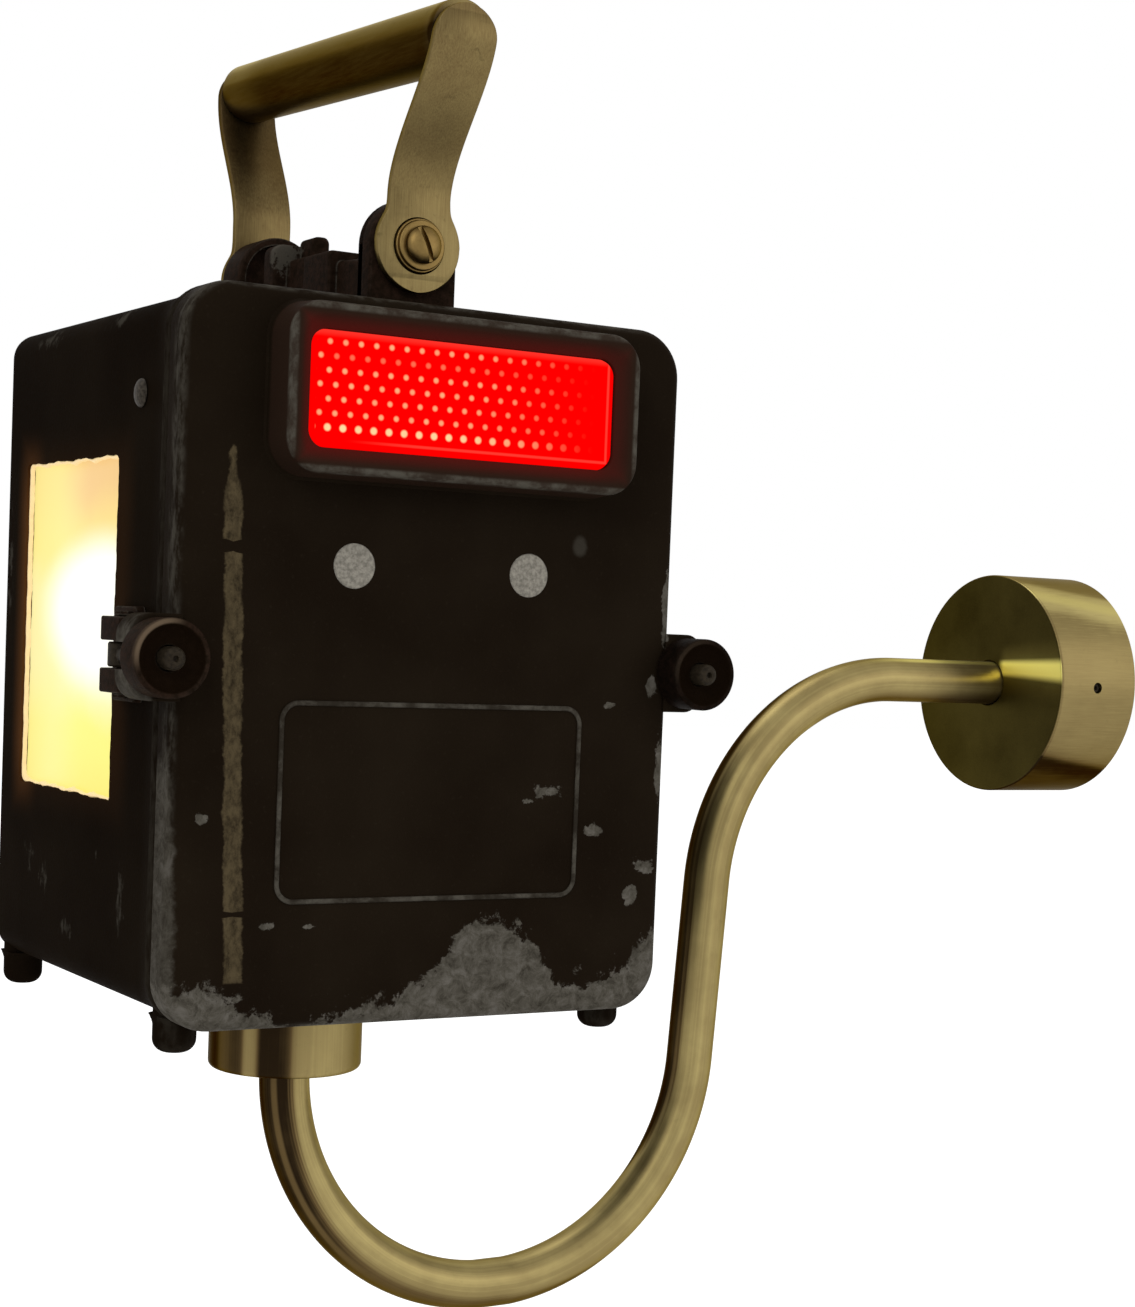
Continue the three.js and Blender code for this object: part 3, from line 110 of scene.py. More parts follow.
def grid_mesh(name, points, around=True, ends=True, flip=False):
    """A mesh on a grid of points, rows by columns. The columns close into loops if around is
    set, and the first and last rows are closed by flat faces if ends is set."""
    points = np.asarray(points, float)
    rows, columns = points.shape[:2]
    index = np.arange(rows * columns).reshape(rows, columns)
    right = np.roll(index, -1, axis=1)
    span = slice(None) if around else slice(0, columns - 1)
    quads = np.stack([
        index[:-1, span], right[:-1, span], right[1:, span], index[1:, span]
    ], axis=-1).reshape(-1, 4)
    if flip:
        quads = quads[:, ::-1]
    faces = quads.tolist()
    if ends and around:
        first, last = index[0], index[-1]
        faces.append((first[::-1] if not flip else first).tolist())
        faces.append((last if not flip else last[::-1]).tolist())
    mesh = bpy.data.meshes.new(name)
    mesh.from_pydata(points.reshape(-1, 3).tolist(), [], faces)
    return mesh


def joined_mesh(name, meshes):
    """One mesh that holds copies of several, side by side."""
    whole = bmesh.new()
    for mesh in meshes:
        whole.from_mesh(mesh)
        bpy.data.meshes.remove(mesh)
    mesh = bpy.data.meshes.new(name)
    whole.to_mesh(mesh)
    whole.free()
    return mesh


def tidy_mesh(mesh, sharp_degrees=32):
    """Merges doubled points, points every face outwards and keeps edges over an angle sharp."""
    work = bmesh.new()
    work.from_mesh(mesh)
    bmesh.ops.remove_doubles(work, verts=work.verts, dist=1e-6)
    bmesh.ops.dissolve_degenerate(work, edges=work.edges, dist=1e-7)
    bmesh.ops.recalc_face_normals(work, faces=work.faces)
    work.to_mesh(mesh)
    work.free()
    mesh.polygons.foreach_set("use_smooth", np.ones(len(mesh.polygons), bool))
    mesh.set_sharp_from_angle(angle=math.radians(sharp_degrees))
    return mesh


def rounded_outline(width, height, corner, steps=10):
    """Points of a rounded rectangle about the origin: four quarter circles of the corner's
    radius, each centred one radius in from both sides, joined by straight lines."""
    corner = min(corner, width / 2, height / 2)
    angle = np.linspace(0, math.pi / 2, steps + 1)
    points = []
    for quarter, (sx, sz) in enumerate(((1, 1), (-1, 1), (-1, -1), (1, -1))):
        turn = angle + quarter * math.pi / 2
        points.append(np.stack([
            sx * (width / 2 - corner) + corner * np.cos(turn),
            sz * (height / 2 - corner) + corner * np.sin(turn),
        ], axis=1))
    return np.concatenate(points)


def lofted_mesh(name, sections, centre=(0, 0), steps=10, ends=True):
    """A loft through rounded rectangles that face the front: each section is its depth,
    width, height and corner radius, in millimetres from the cover's middle."""
    rings = []
    for depth, width, height, corner in sections:
        outline = rounded_outline(width, height, max(corner, 0.05), steps)
        rings.append(from_middle(outline[:, 0] + centre[0], depth, outline[:, 1] + centre[1]))
    return grid_mesh(name, rings, ends=ends)


def edge_round(depth, width, height, corner, radius, towards, steps=6):
    """Sections of a quarter round at an end face: at angle a the depth lies radius times
    (1 - sin a) from the face, and the sides are drawn in by radius times (1 - cos a)."""
    sections = []
    for angle in np.linspace(math.pi / 2, 0, steps + 1):
        inset = radius * (1 - math.cos(angle))
        sections.append((
            depth + towards * radius * (1 - math.sin(angle)),
            width - 2 * inset, height - 2 * inset, max(corner - inset, radius * 0.3),
        ))
    return sections


def turned_mesh(name, profile, start, axis, sides=48, closed=False):
    """A profile of radius and distance pairs, in millimetres, turned about an axis through a
    start point: every point circles the axis at its own radius."""
    profile = np.asarray(profile, float) * MM
    if closed:
        profile = np.vstack([profile, profile[:1]])
    axis = np.asarray(Vector(axis).normalized())
    side = np.asarray(Vector(axis).orthogonal().normalized())
    other = np.cross(axis, side)
    angle = np.linspace(0, 2 * math.pi, sides, endpoint=False)
    wheel = np.cos(angle)[:, None] * side + np.sin(angle)[:, None] * other
    points = (
        np.asarray(start)[None, None, :]
        + profile[:, 0][:, None, None] * wheel[None, :, :]
        + profile[:, 1][:, None, None] * axis[None, None, :]
    )
    return grid_mesh(name, points, ends=not closed)


def reshaped(mesh, move):
    """Puts a function of the mesh's points, in millimetres from the cover's middle, in their
    place."""
    points = np.empty(len(mesh.vertices) * 3)
    mesh.vertices.foreach_get("co", points)
    points = (points.reshape(-1, 3) - MIDDLE) / MM
    mesh.vertices.foreach_set("co", (move(points) * MM + MIDDLE).ravel())
    return mesh


def arc_points(centre, radius, start, end, steps):
    """Points of an arc in degrees, as radius and distance pairs."""
    angle = np.radians(np.linspace(start, end, steps + 1))
    return [(centre[0] + radius * math.cos(a), centre[1] + radius * math.sin(a)) for a in angle]


def swept_mesh(name, path, outlines, up):
    """An outline carried along a path: at each point the outline's first coordinate lies
    along the path's side direction and its second along up crossed with that."""
    path = np.asarray(path, float)
    tangent = np.gradient(path, axis=0)
    tangent /= np.linalg.norm(tangent, axis=1)[:, None]
    side = np.broadcast_to(np.asarray(up, float), path.shape)
    lift = np.cross(tangent, side)
    lift /= np.linalg.norm(lift, axis=1)[:, None]
    outlines = np.asarray(outlines, float)
    if outlines.ndim == 2:
        outlines = np.broadcast_to(outlines, (len(path),) + outlines.shape)
    points = (
        path[:, None, :]
        + outlines[:, :, 0][:, :, None] * side[:, None, :]
        + outlines[:, :, 1][:, :, None] * lift[:, None, :]
    )
    return grid_mesh(name, points)


def linked(name, data):
    """A new object in the scene, at the origin."""
    thing = bpy.data.objects.new(name, data)
    bpy.context.scene.collection.objects.link(thing)
    return thing


def applied(thing, name):
    """A mesh of an object with its modifiers worked out. The object and its mesh go."""
    bpy.context.view_layer.update()
    depsgraph = bpy.context.evaluated_depsgraph_get()
    result = bpy.data.meshes.new_from_object(thing.evaluated_get(depsgraph))
    result.name = name
    bpy.data.meshes.remove(thing.data)
    return result


def add_piece(name, mesh, look, body="lamp", instead_of=None, sharp=32):
    """Puts a finished mesh in the scene, on a body and in the place of a node."""
    tidy_mesh(mesh, sharp)
    mesh.materials.clear()
    mesh.materials.append(FINISHES[look])
    piece = linked(name, mesh)
    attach(piece, body)
    if instead_of:
        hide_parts(instead_of)
    return piece


def carved(mesh, *tools):
    """The mesh less each tool's solid, worked out by the boolean modifier and applied."""
    name = mesh.name + "_cut"
    body = linked("carving", tidy_mesh(mesh))
    for tool in tools:
        cut = body.modifiers.new("Cut", "BOOLEAN")
        cut.operation = "DIFFERENCE"
        cut.solver = "EXACT"
        cut.object = linked("tool", tidy_mesh(tool))
    result = applied(body, name)
    for tool in tools:
        bpy.data.meshes.remove(tool)
    return result


# Finishes

def arithmetic(operation, swapped=False):
    """A method of Value that adds the math node of one operation."""
    def apply(self, other=0.0):
        first, second = (other, self) if swapped else (self, other)
        return self.nodes.math(operation, first, second)
    return apply


class Value:
    """An output of a node. Arithmetic with it adds math nodes to its tree."""

    def __init__(self, nodes, socket):
        self.nodes, self.socket = nodes, socket

    def __neg__(self):
        return self * -1.0

    __add__, __radd__ = arithmetic("ADD"), arithmetic("ADD", True)
    __sub__, __rsub__ = arithmetic("SUBTRACT"), arithmetic("SUBTRACT", True)
    __mul__, __rmul__ = arithmetic("MULTIPLY"), arithmetic("MULTIPLY", True)
    __truediv__, __mod__ = arithmetic("DIVIDE"), arithmetic("MODULO")
    __abs__, __round__ = arithmetic("ABSOLUTE"), arithmetic("ROUND")


class Nodes:
    """A node tree in the making. Each method adds nodes and returns their outcome as a Value."""

    def __init__(self, tree):
        self.tree = tree
        tree.nodes.clear()

    def put(self, value, socket):
        """Links a Value to a socket, or sets the socket to a number or a colour."""
        if isinstance(value, Value):
            self.tree.links.new(value.socket, socket)
        elif hasattr(socket.default_value, "__len__"):
            value = tuple(value)
            socket.default_value = value + (1.0,) * (len(socket.default_value) - len(value))
        else:
            socket.default_value = value

    def add(self, kind, inputs, output=0, **settings):
        """Adds a node with its settings and inputs, and gives one of its outputs."""
        node = self.tree.nodes.new("ShaderNode" + kind)
        for name, setting in settings.items():
            setattr(node, name, setting)
        for name, value in inputs.items():
            self.put(value, node.inputs[name])
        return Value(self, node.outputs[output]) if node.outputs else None

    def math(self, operation, first, second=0.0, clamp=False):
        return self.add("Math", {0: first, 1: second}, operation=operation, use_clamp=clamp)

    def most(self, *values):
        result = values[0]
        for value in values[1:]:
            result = self.math("MAXIMUM", result, value)
        return result

    def seen(self):
        """1 to the rays by which a thing is seen, straight, mirrored or through glass, else 0."""
        path = self.tree.nodes.new("ShaderNodeLightPath")
        rays = ("Is Camera Ray", "Is Glossy Ray", "Is Transmission Ray")
        return self.most(*(Value(self, path.outputs[ray]) for ray in rays))


class Finish(Nodes):
    """A node material in the making."""

    def __init__(self, name):
        self.material = bpy.data.materials.new(name)
        self.material.use_nodes = True
        super().__init__(self.material.node_tree)
        self.output = self.tree.nodes.new("ShaderNodeOutputMaterial")
        self.shader = self.tree.nodes.new("ShaderNodeBsdfPrincipled")
        self.tree.links.new(self.shader.outputs[0], self.output.inputs["Surface"])
        self.coordinates = self.tree.nodes.new("ShaderNodeTexCoord")

    def set(self, **values):
        """Sets or links the shader's own sockets by name, and gives the material."""
        for name, value in values.items():
            self.put(value, self.shader.inputs[name.replace("_", " ")])
        return self.material

    def place(self, centre=MIDDLE):
        """Object coordinates from a centre, in millimetres."""
        return self.add("Mapping", {
            "Vector": Value(self, self.coordinates.outputs["Object"]),
            "Location": -np.asarray(centre) / MM, "Scale": (1 / MM,) * 3,
        })

    def uv(self):
        return Value(self, self.coordinates.outputs["UV"])

    def axes(self, vector):
        node = self.add("SeparateXYZ", {"Vector": vector}).socket.node
        return [Value(self, socket) for socket in node.outputs]

    def noise(self, vector, scale, detail=4.0, roughness=0.55, distortion=0.0, stretch=None):
        """Clouds of 0 to 1, on coordinates that may be stretched first."""
        if stretch:
            vector = self.add("Mapping", {"Vector": vector, "Scale": stretch})
        return self.add("TexNoise", {
            "Vector": vector, "Scale": scale, "Detail": detail, "Roughness": roughness,
            "Distortion": distortion,
        }, "Fac")

    def ramp(self, value, *stops, ease="LINEAR"):
        """A colour ramp: each stop is a place and a colour or a grey."""
        result = self.add("ValToRGB", {"Fac": value})
        ramp = result.socket.node.color_ramp
        ramp.interpolation = ease
        while len(ramp.elements) < len(stops):
            ramp.elements.new(0.5)
        for element, (place, colour) in zip(ramp.elements, stops):
            element.position = place
            element.color = (*(colour if hasattr(colour, "__len__") else (colour,) * 3), 1.0)
        return result

    def mix(self, amount, first, second, blend="MIX"):
        return self.add("Mix", {0: amount, 6: first, 7: second}, 2, data_type="RGBA",
                        blend_type=blend)

    def step(self, value, low, high):
        """0 at low, 1 at high and smooth between. Low may be the larger."""
        return self.add("MapRange", {"Value": value, "From Min": low, "From Max": high},
                        interpolation_type="SMOOTHSTEP")

    def rise_and_fall(self, value, low, full, less, high):
        """0 up to low, 1 from full to less and 0 again from high."""
        return self.step(value, low, full) * self.step(value, high, less)

    def curve(self, value, *points):
        """A curve through given points of 0 to 1."""
        result = self.add("FloatCurve", {"Value": value})
        mapping = result.socket.node.mapping
        line = mapping.curves[0].points
        while len(line) < len(points):
            line.new(0.5, 0.5)
        for point, place in zip(line, points):
            point.location = place
            point.handle_type = "AUTO"
        mapping.update()
        return result

    def bump(self, height, strength, distance):
        return self.add("Bump", {"Height": height, "Strength": strength, "Distance": distance})

    def away(self, first, second):
        """The distance from the middle, by its two coordinates."""
        return self.math("SQRT", first * first + second * second)

    def blots(self, first, second, *spots):
        """Spots, each by its centre and its half widths: 1 at a spot's centre, 0 on its
        ellipse and below 0 outside."""
        return self.most(*(
            1.0 - self.away((first - centre) / half, (second - level) / half_up)
            for centre, level, half, half_up in spots
        ))


def cover_paint(looks):
    """Brown-black paint, worn to grey metal low down, along the left edge and in a stripe. The
    border line, the frame's rim and the rolled edge are lightened, partly as wear and partly as
    painted highlights, and the raised lens frame carries the lens's painted red glow.
    """
    f = Finish("cover_paint")
    place = f.place()
    x, y, z = f.axes(place)
    coarse = f.noise(place, 0.075, 8.0, 0.72, 0.6)
    fine = f.noise(place, 0.35, 6.0, 0.7)
    spread = coarse - 0.5 + (fine - 0.5) * 0.55
    width, height = 124, 160
    across = x / width + 0.5
    skyline = f.curve(
        across, (0.0, 0.34), (0.08, 0.3), (0.14, 0.2), (0.2, 0.13), (0.28, 0.09), (0.38, 0.17),
        (0.48, 0.26), (0.54, 0.5), (0.58, 0.66), (0.635, 0.76), (0.7, 0.62), (0.75, 0.42),
        (0.8, 0.27), (0.84, 0.25), (0.88, 0.31), (0.93, 0.42), (1.0, 0.6)
    )
    ground = skyline * 32.0 - height / 2 - z
    low = ground * 0.075 + spread * 1.9
    left_side = (z * 0.03 + (x + 61.2)) * -0.3 - f.most(z * 0.09 + 2.3, 0.0) + spread * 1.6
    lean = z * -0.0333 - 49.0
    taper = f.most(z - 33.0, 0.0) * 0.17
    stripe = (2.35 - taper - abs(x - lean)) * 0.5 + spread * 1.7
    ends = 57.6 - abs(z + 12.0)
    breaks = f.blots(x, z, (-50, 24, 12, 1.5), (-47.5, -54.5, 12, 0.7))
    stripe = f.math("MINIMUM", stripe, ends * 0.6) - f.most(breaks, 0.0) * 3.0
    spots = f.blots(
        x, z, (30.2, -28.4, 5.4, 2.5), (42.0, -37.4, 3.0, 2.0), (56.8, -3.6, 2.2, 3.4),
        (60.0, -22, 1.6, 9.0), (57.0, -46, 4.6, 3.2), (60.2, 14, 1.4, 12),
        (24.6, -30.4, 2.4, 1.1), (53.5, -52, 2.6, 3.2), (-38.5, -57.2, 3.0, 1.5),
        (-29.5, -57.6, 2.6, 1.2), (45.5, -8.0, 2.2, 1.0), (-55, -34, 2.0, 1.6),
    )
    spots = spots * 0.9 + spread * 2.4 - 0.24
    scuff = f.blots(x, z, (35.7, 28.6, 2.6, 3.4))
    bare = f.most(f.step(f.most(low, spots), 0.0, 0.14), f.step(left_side, 0.0, 0.5) * 0.6)
    worn = f.step(stripe, 0.0, 0.35)
    forward = -y
    # Lighter lines on the border, the lens frame's rim and the rolled edge: partly worn paint,
    # partly painted edge highlights.
    line = f.step(forward, 0.16, 0.42) * f.step(z, 12.0, 4.0)
    shift, rise = in_mm(looks, "lens_shift", "lens_rise")
    half_width, half_height = 37.7, 12.5  # of the lens
    near_lens = f.most(abs(x - shift) - half_width, abs(z - rise) - half_height)
    lip = f.step(forward, 8.9, 9.7) * f.rise_and_fall(near_lens, 3.6, 4.4, 5.4, 6.0)
    # The raised lens frame, tinted red-brown as painted glow from the lens.
    frame_glow = f.step(forward, 0.8, 2.0) * f.step(z, 20.0, 30.0)
    rolled = f.rise_and_fall(y, 0.35, 1.6, 4.0, 7.0)
    patchy = f.noise(place, 0.5, 6.0, 0.7, stretch=(0.35, 1.0, 0.35))
    rubbed = f.step(patchy, 0.38, 0.66)
    # The worn and painted-highlight edge lines together.
    lines = f.most(
        line * (rubbed * 0.75 + 0.2), lip * (rubbed * 0.8 + 0.2), rolled * (rubbed * 0.6)
    )
    glow = f.step(forward, 7.6, 8.0) * f.step(near_lens, 4.0, 0.0)
    glow = glow * (f.step(x, 30.0, 40.0) * -0.55 + 1.0)
    faint = f.step(spread * 0.6 + scuff, 0.1, 0.6)
    mottling = f.noise(place, 0.9, 5.0, 0.65)
    clouds = f.noise(place, 0.03, 3.0, 0.5)
    paint = f.mix(f.ramp(clouds, (0.35, 0.0), (0.7, 1.0)), looks.paint, looks.paint_worn)
    paint = f.mix(f.step(mottling, 0.55, 0.8) * 0.35, paint, looks.paint_dust)
    metal = f.ramp(f.noise(place, 0.28, 9.0, 0.78, 0.5), (0.34, looks.bare_dark),
                   (0.5, looks.bare), (0.64, looks.bare_light))
    tan = f.ramp(f.noise(place, 0.4, 8.0, 0.78, stretch=(1.0, 1.0, 0.6)),
                 (0.36, looks.stripe_dark), (0.58, looks.stripe))
    colour = f.mix(frame_glow * 0.7, paint, looks.brown_paint_and_lens_glow)
    colour = f.mix(faint * 0.35, colour, looks.bare)
    colour = f.mix(lines, colour, looks.bare)
    colour = f.mix(glow * 0.95, colour, looks.red_glow)
    colour = f.mix(worn * 0.88, colour, tan)
    colour = f.mix(bare, colour, metal)
    grain = f.noise(place, 1.4, 6.0, 0.6)
    relief = grain * 0.4 - bare * 0.35 + clouds * 1.2
    return f.set(
        Base_Color=colour, Roughness=mottling * 0.3 + 0.34, Specular_IOR_Level=0.004,
        Normal=f.bump(relief, 0.35, 0.0006)
    )


def case_paint(looks):
    """The same paint on the case, dustier, with pale scuffs high at the back and low down."""
    f = Finish("case_paint")
    place = f.place()
    x, y, z = f.axes(place)
    coarse = f.noise(place, 0.06, 7.0, 0.7, 0.4)
    fine = f.noise(place, 0.3, 6.0, 0.7, stretch=(1.0, 1.6, 0.7))
    spread = coarse - 0.5 + (fine - 0.5) * 0.9
    spots = f.blots(
        y, z, (92, 74, 22, 4), (45, 75, 18, 4), (96, -50, 5, 7), (86, -56, 5, 7),
        (118, 20, 5, 26), (70, -66, 9, 4), (34, -52, 3, 12), (50, -46, 4, 4),
    )
    spots = spots * 0.6 + spread * 2.1
    bare = f.step(spots - 0.36, 0.0, 0.4)
    ridge = f.rise_and_fall(y, 8.9, 9.4, 11.6, 12.6)
    mottling = f.noise(place, 0.8, 5.0, 0.65)
    clouds = f.noise(place, 0.028, 3.0, 0.5)
    paint = f.mix(f.ramp(clouds, (0.35, 0.0), (0.7, 1.0)), looks.paint, looks.paint_worn)
    paint = f.mix(f.step(mottling, 0.5, 0.8) * 0.3, paint, looks.brown_paint_and_lens_glow)
    paint = f.mix(0.3, paint, (0.0, 0.0, 0.0))
    rise, half_height, middle, half_length = 5.4, 39.1, 72.0, 32.0  # of the side window
    off_pane = abs(z - rise)
    beside = f.most(off_pane - half_height, abs(y - middle) - half_length)
    lit = f.step(beside, 11.0, 0.0) * f.step(x, -50.0, -58.0)
    lit = lit * (f.step(y, 92.0, 104.0) * 0.7 + 0.12)
    lit = lit * f.step(off_pane, 52.0, 26.0)
    paint = f.mix(lit, paint, looks.pane_halo)
    colour = f.mix(ridge * f.step(fine, 0.3, 0.7) * 0.6, paint, looks.bare_dark)
    colour = f.mix(bare * 0.42, colour, looks.bare)
    grain = f.noise(place, 1.2, 6.0, 0.6)
    height = grain * 0.5 + clouds * 1.5
    return f.set(
        Base_Color=colour, Roughness=mottling * 0.28 + 0.38, Specular_IOR_Level=0.0006,
        Normal=f.bump(height, 0.35, 0.0006)
    )


def casting_paint(looks):
    """Dark paint on the small castings, rubbed to metal on their edges, which also stands for
    painted edge highlights. The right knob is painted dark as shade, the knobs are darker inside
    their dishes, and the left knob's rim has a painted highlight on its upper left.
    """
    f = Finish("casting_paint")
    place = f.place()
    mottling = f.noise(place, 0.6, 6.0, 0.7)
    grain = f.noise(place, 1.8, 5.0, 0.6)
    rounded = f.add("Bevel", {"Radius": 0.7 * MM}, samples=4)
    facing = f.add("VectorMath", {0: rounded, 1: f.add("NewGeometry", {}, "Normal")}, "Value",
                   operation="DOT_PRODUCT")
    x, y, z = f.axes(place)
    # Edges found by the bevel turn to bare metal: partly wear, partly painted edge highlights.
    edge = f.step(1.0 - facing, 0.01, 0.16)
    rubbed = edge * f.step(mottling, 0.3, 0.55)
    patch = f.blots(x, z, (-7.0, 99.5, 6.0, 6.5)) + (mottling - 0.5) * 2.4
    patch = f.step(patch, 0.2, 0.45) * f.step(z, 90.0, 92.0)
    patch = patch * f.rise_and_fall(y, 74.0, 76.0, 78.0, 80.0)
    paint = f.mix(f.step(mottling, 0.3, 0.75), looks.paint, looks.brown_paint_and_lens_glow)
    colour = f.mix(rubbed * 0.75, paint, looks.bare)
    colour = f.mix(patch * 0.75, colour, looks.bare)
    # The knobs: the right one is painted near black as shade, each dish is darker inside, and a
    # painted highlight lies on the upper left of each rim, strong on the left knob and faint on the
    # right.
    for name, lit in (("left", 1.0), ("right", 0.12)):
        low, high = box_mm("clamp_knob_" + name)
        off = x - (low[0] + high[0]) / 2
        away = f.away(off, z)
        knob = f.step(away, 9.2, 8.8) * f.step(y, high[1] - 0.4, high[1] - 0.8)
        dish = f.step(away, 7.5, 7.1) * f.step(y, high[1] - 5.0, high[1] - 5.6)
        side = (z - off) / f.most(away, 1.0)
        rim = f.step(abs(away - 7.8), 0.8, 0.2) * f.step(side, 0.5, 1.3)
        rim = rim * knob * f.step(y, low[1] + 2.0, low[1] + 0.6)
        colour = f.mix(knob * (0.55 if lit < 1 else 0.0), colour, (0.001, 0.001, 0.001))
        colour = f.mix(dish * 0.85, colour, looks.paint_dish)
        colour = f.mix(rim * lit, colour, looks.knob_rim_highlight)
    return f.set(
        Base_Color=colour, Roughness=mottling * 0.25 + 0.38, Specular_IOR_Level=0.004,
        Normal=f.bump(grain, 0.3, 0.0005)
    )


def brass_body(f, looks, tone, streaks, cloud, speckle, tarnish, vary=1.0, warm=0.0, olive=0.0,
               glint=0.0):
    """Satin brass whose tone runs from the darkest brass at 0 over dull to bright brass at 1.
    Several finishes paint highlights, shade and dark reflections into that tone. It may vary
    less, be warmer or more olive, and have glints."""
    shade = (streaks - 0.5) * (0.35 * vary) + (cloud - 0.5) * (0.3 * vary) + tone
    colour = f.ramp(shade, (0.0, looks.brass_dark), (0.35, looks.brass_dull), (0.75, looks.brass),
                    (1.0, looks.brass_light))
    colour = f.mix(f.step(speckle, 0.56, 0.78) * tarnish, colour, looks.brass_dark)
    if warm:
        colour = f.mix(warm, colour, looks.brass_warmth, "MULTIPLY")
    if olive:
        colour = f.mix(olive, colour, looks.brass_olive, "MULTIPLY")
    if glint:
        colour = f.mix(glint, colour, looks.brass_glint)
    return f.set(
        Base_Color=colour, Metallic=1.0, Roughness=cloud * 0.12 + streaks * 0.14 + 0.27,
        Specular_Tint=looks.brass_edge, Normal=f.bump(streaks, 0.06, 0.0003)
    )


def brushed_brass(name, looks, tone, tarnish, warm):
    """Satin brass with clouds of tarnish that darken its colour and dull its gloss."""
    f = Finish(name)
    place = f.place()
    return brass_body(f, looks, tone, f.noise(place, 1.0, 3.0, 0.6),
                      f.noise(place, 0.06, 5.0, 0.65, 0.3), f.noise(place, 0.5, 5.0, 0.7), tarnish,
                      warm=warm)


def arm_brass(name, looks, *tone_by_height):
    """Brass of a handle arm: fine upright lines, specks of tarnish, and a tone set by the height
    that darkens towards the top, a painted dark reflection.
    """
    f = Finish(name)
    place = f.place()
    height = f.axes(place)[2]
    foot, length_ = 83, 66
    return brass_body(f, looks, f.curve((height - foot) / length_, *tone_by_height),
                      f.noise(place, 1.0, 3.0, 0.6, stretch=(3.0, 3.0, 0.12)),
                      f.noise(place, 0.09, 6.0, 0.7, 0.5), f.noise(place, 0.35, 6.0, 0.7), 0.5)


def grip_brass(looks):
    """Brass of the grip with painted light and shade: a painted highlight along its top, lighter
    under it, painted shade between, lighter towards the rear end and painted shade at the front
    end by the arm. The way across is the height above the grip's own leaning axis."""
    f = Finish("grip_brass")
    place = f.place()
    x, y, z = f.axes(place)
    lean, height, diameter = 6.5 / 117, 137.6, 15
    across = (z - (y * lean + height)) / diameter + 0.5
    # Painted highlight, shade and lighter underside, by the height across the grip.
    tone = f.curve(across, (0.0, 0.5), (0.06, 0.46), (0.12, 0.3), (0.2, 0.1), (0.5, 0.07),
                   (0.62, 0.12), (0.72, 0.36), (0.82, 0.5), (0.92, 0.68), (1.0, 0.82))
    # Lighter towards the rear end, painted shade at the front end by the arm.
    tone = f.step(y, 92.0, 112.0) * 0.16 - f.step(y, 2.6, 0.2) * 0.3 + tone
    cloud = f.noise(place, 0.12, 6.0, 0.7, 0.5, stretch=(1.0, 0.4, 1.0))
    return brass_body(f, looks, tone, f.noise(place, 1.0, 3.0, 0.6, stretch=(2.0, 0.1, 2.0)),
                      cloud, f.noise(place, 0.3, 6.0, 0.7), 0.35, 0.4)


def ferrule_brass(looks, stem):
    """Turned brass of the ferrule, with painted reflections: upright light and dark bands laid
    across it along one fixed direction.
    """
    f = Finish("ferrule_brass")
    place = f.place(stem)
    x, y, z = f.axes(place)
    diameter = 38.3
    # Painted reflection bands, by the place across the ferrule along a fixed direction.
    across = (y * -0.46 + x * 0.88) / diameter + 0.5
    tone = f.curve(across, (0.0, 0.0), (0.07, 0.0), (0.12, 0.24), (0.2, 0.1), (0.24, 0.14),
                   (0.29, 0.66), (0.345, 0.44), (0.385, 0.0), (0.49, 0.0), (0.54, 0.1),
                   (0.59, 0.6), (0.64, 0.74), (0.78, 0.78), (0.92, 0.74), (1.0, 0.3))
    streaks = f.noise(place, 1.0, 4.0, 0.65, stretch=(1.2, 1.2, 0.01))
    return brass_body(f, looks, tone, streaks, f.noise(place, 0.07, 4.0, 0.6),
                      f.noise(place, 0.5, 5.0, 0.7), 0.15, 0.5)


def canopy_brass(looks, canopy):
    """Brass of the canopy with painted reflections: its turned face is painted dark and olive
    with one painted highlight wedge, a halo and a faint sheen; its side is brushed along and
    lighter, with a painted highlight line high up, a painted dark reflection low down and a
    darker rounded edge."""
    f = Finish("canopy_brass")
    place = f.place(canopy)
    x, y, z = f.axes(place)
    # The face: painted dark, with a painted highlight wedge, its halo and a faint painted sheen.
    face = f.step(x, -14.2, -14.45)
    fan = abs(y) * 0.035 + 1.7
    off = abs(z - 4.6) / fan
    wedge = f.step(off, 1.5, 0.5) * f.step(y, -4.0, -7.0)
    halo = f.step(off, 4.0, 0.8) * f.step(y, -4.0, -8.0)
    glimmer = f.step(abs(z + 3.0), 20.0, 3.0)
    face_tone = halo * 0.3 + glimmer * 0.04 + 0.12
    # The side: painted light and dark bands by height, a painted highlight line, and a darker
    # rounded edge.
    diameter = 64.5
    slant = x * 0.14 + z
    across = slant / diameter + 0.5
    side_tone = f.curve(across, (0.0, 0.0), (0.06, 0.1), (0.1, 0.02), (0.13, 0.0), (0.16, 0.36),
                        (0.22, 0.6), (0.5, 0.68), (0.78, 0.74), (0.86, 1.0), (0.91, 1.0),
                        (0.95, 0.74), (1.0, 0.7))
    chamfer = f.rise_and_fall(x, -14.45, -14.2, -13.8, -13.5)
    tone = face * face_tone + (1.0 - face) * side_tone - chamfer * 0.12
    streaks = f.noise(place, 1.0, 3.0, 0.6, stretch=(0.1, 3.0, 3.0))
    gleam = f.step(abs(slant - 24.5), 2.4, 0.4) * 0.12 * (1.0 - face)
    glint = f.most(wedge * face, gleam)
    olive = face * (1.0 - wedge)
    streaks = (streaks - 0.5) * (face * -0.5 + 1.0) + 0.5
    return brass_body(f, looks, tone, streaks, f.noise(place, 0.05, 4.0, 0.6),
                      f.noise(place, 0.5, 5.0, 0.7), 0.12, 0.8, olive=olive, glint=glint)


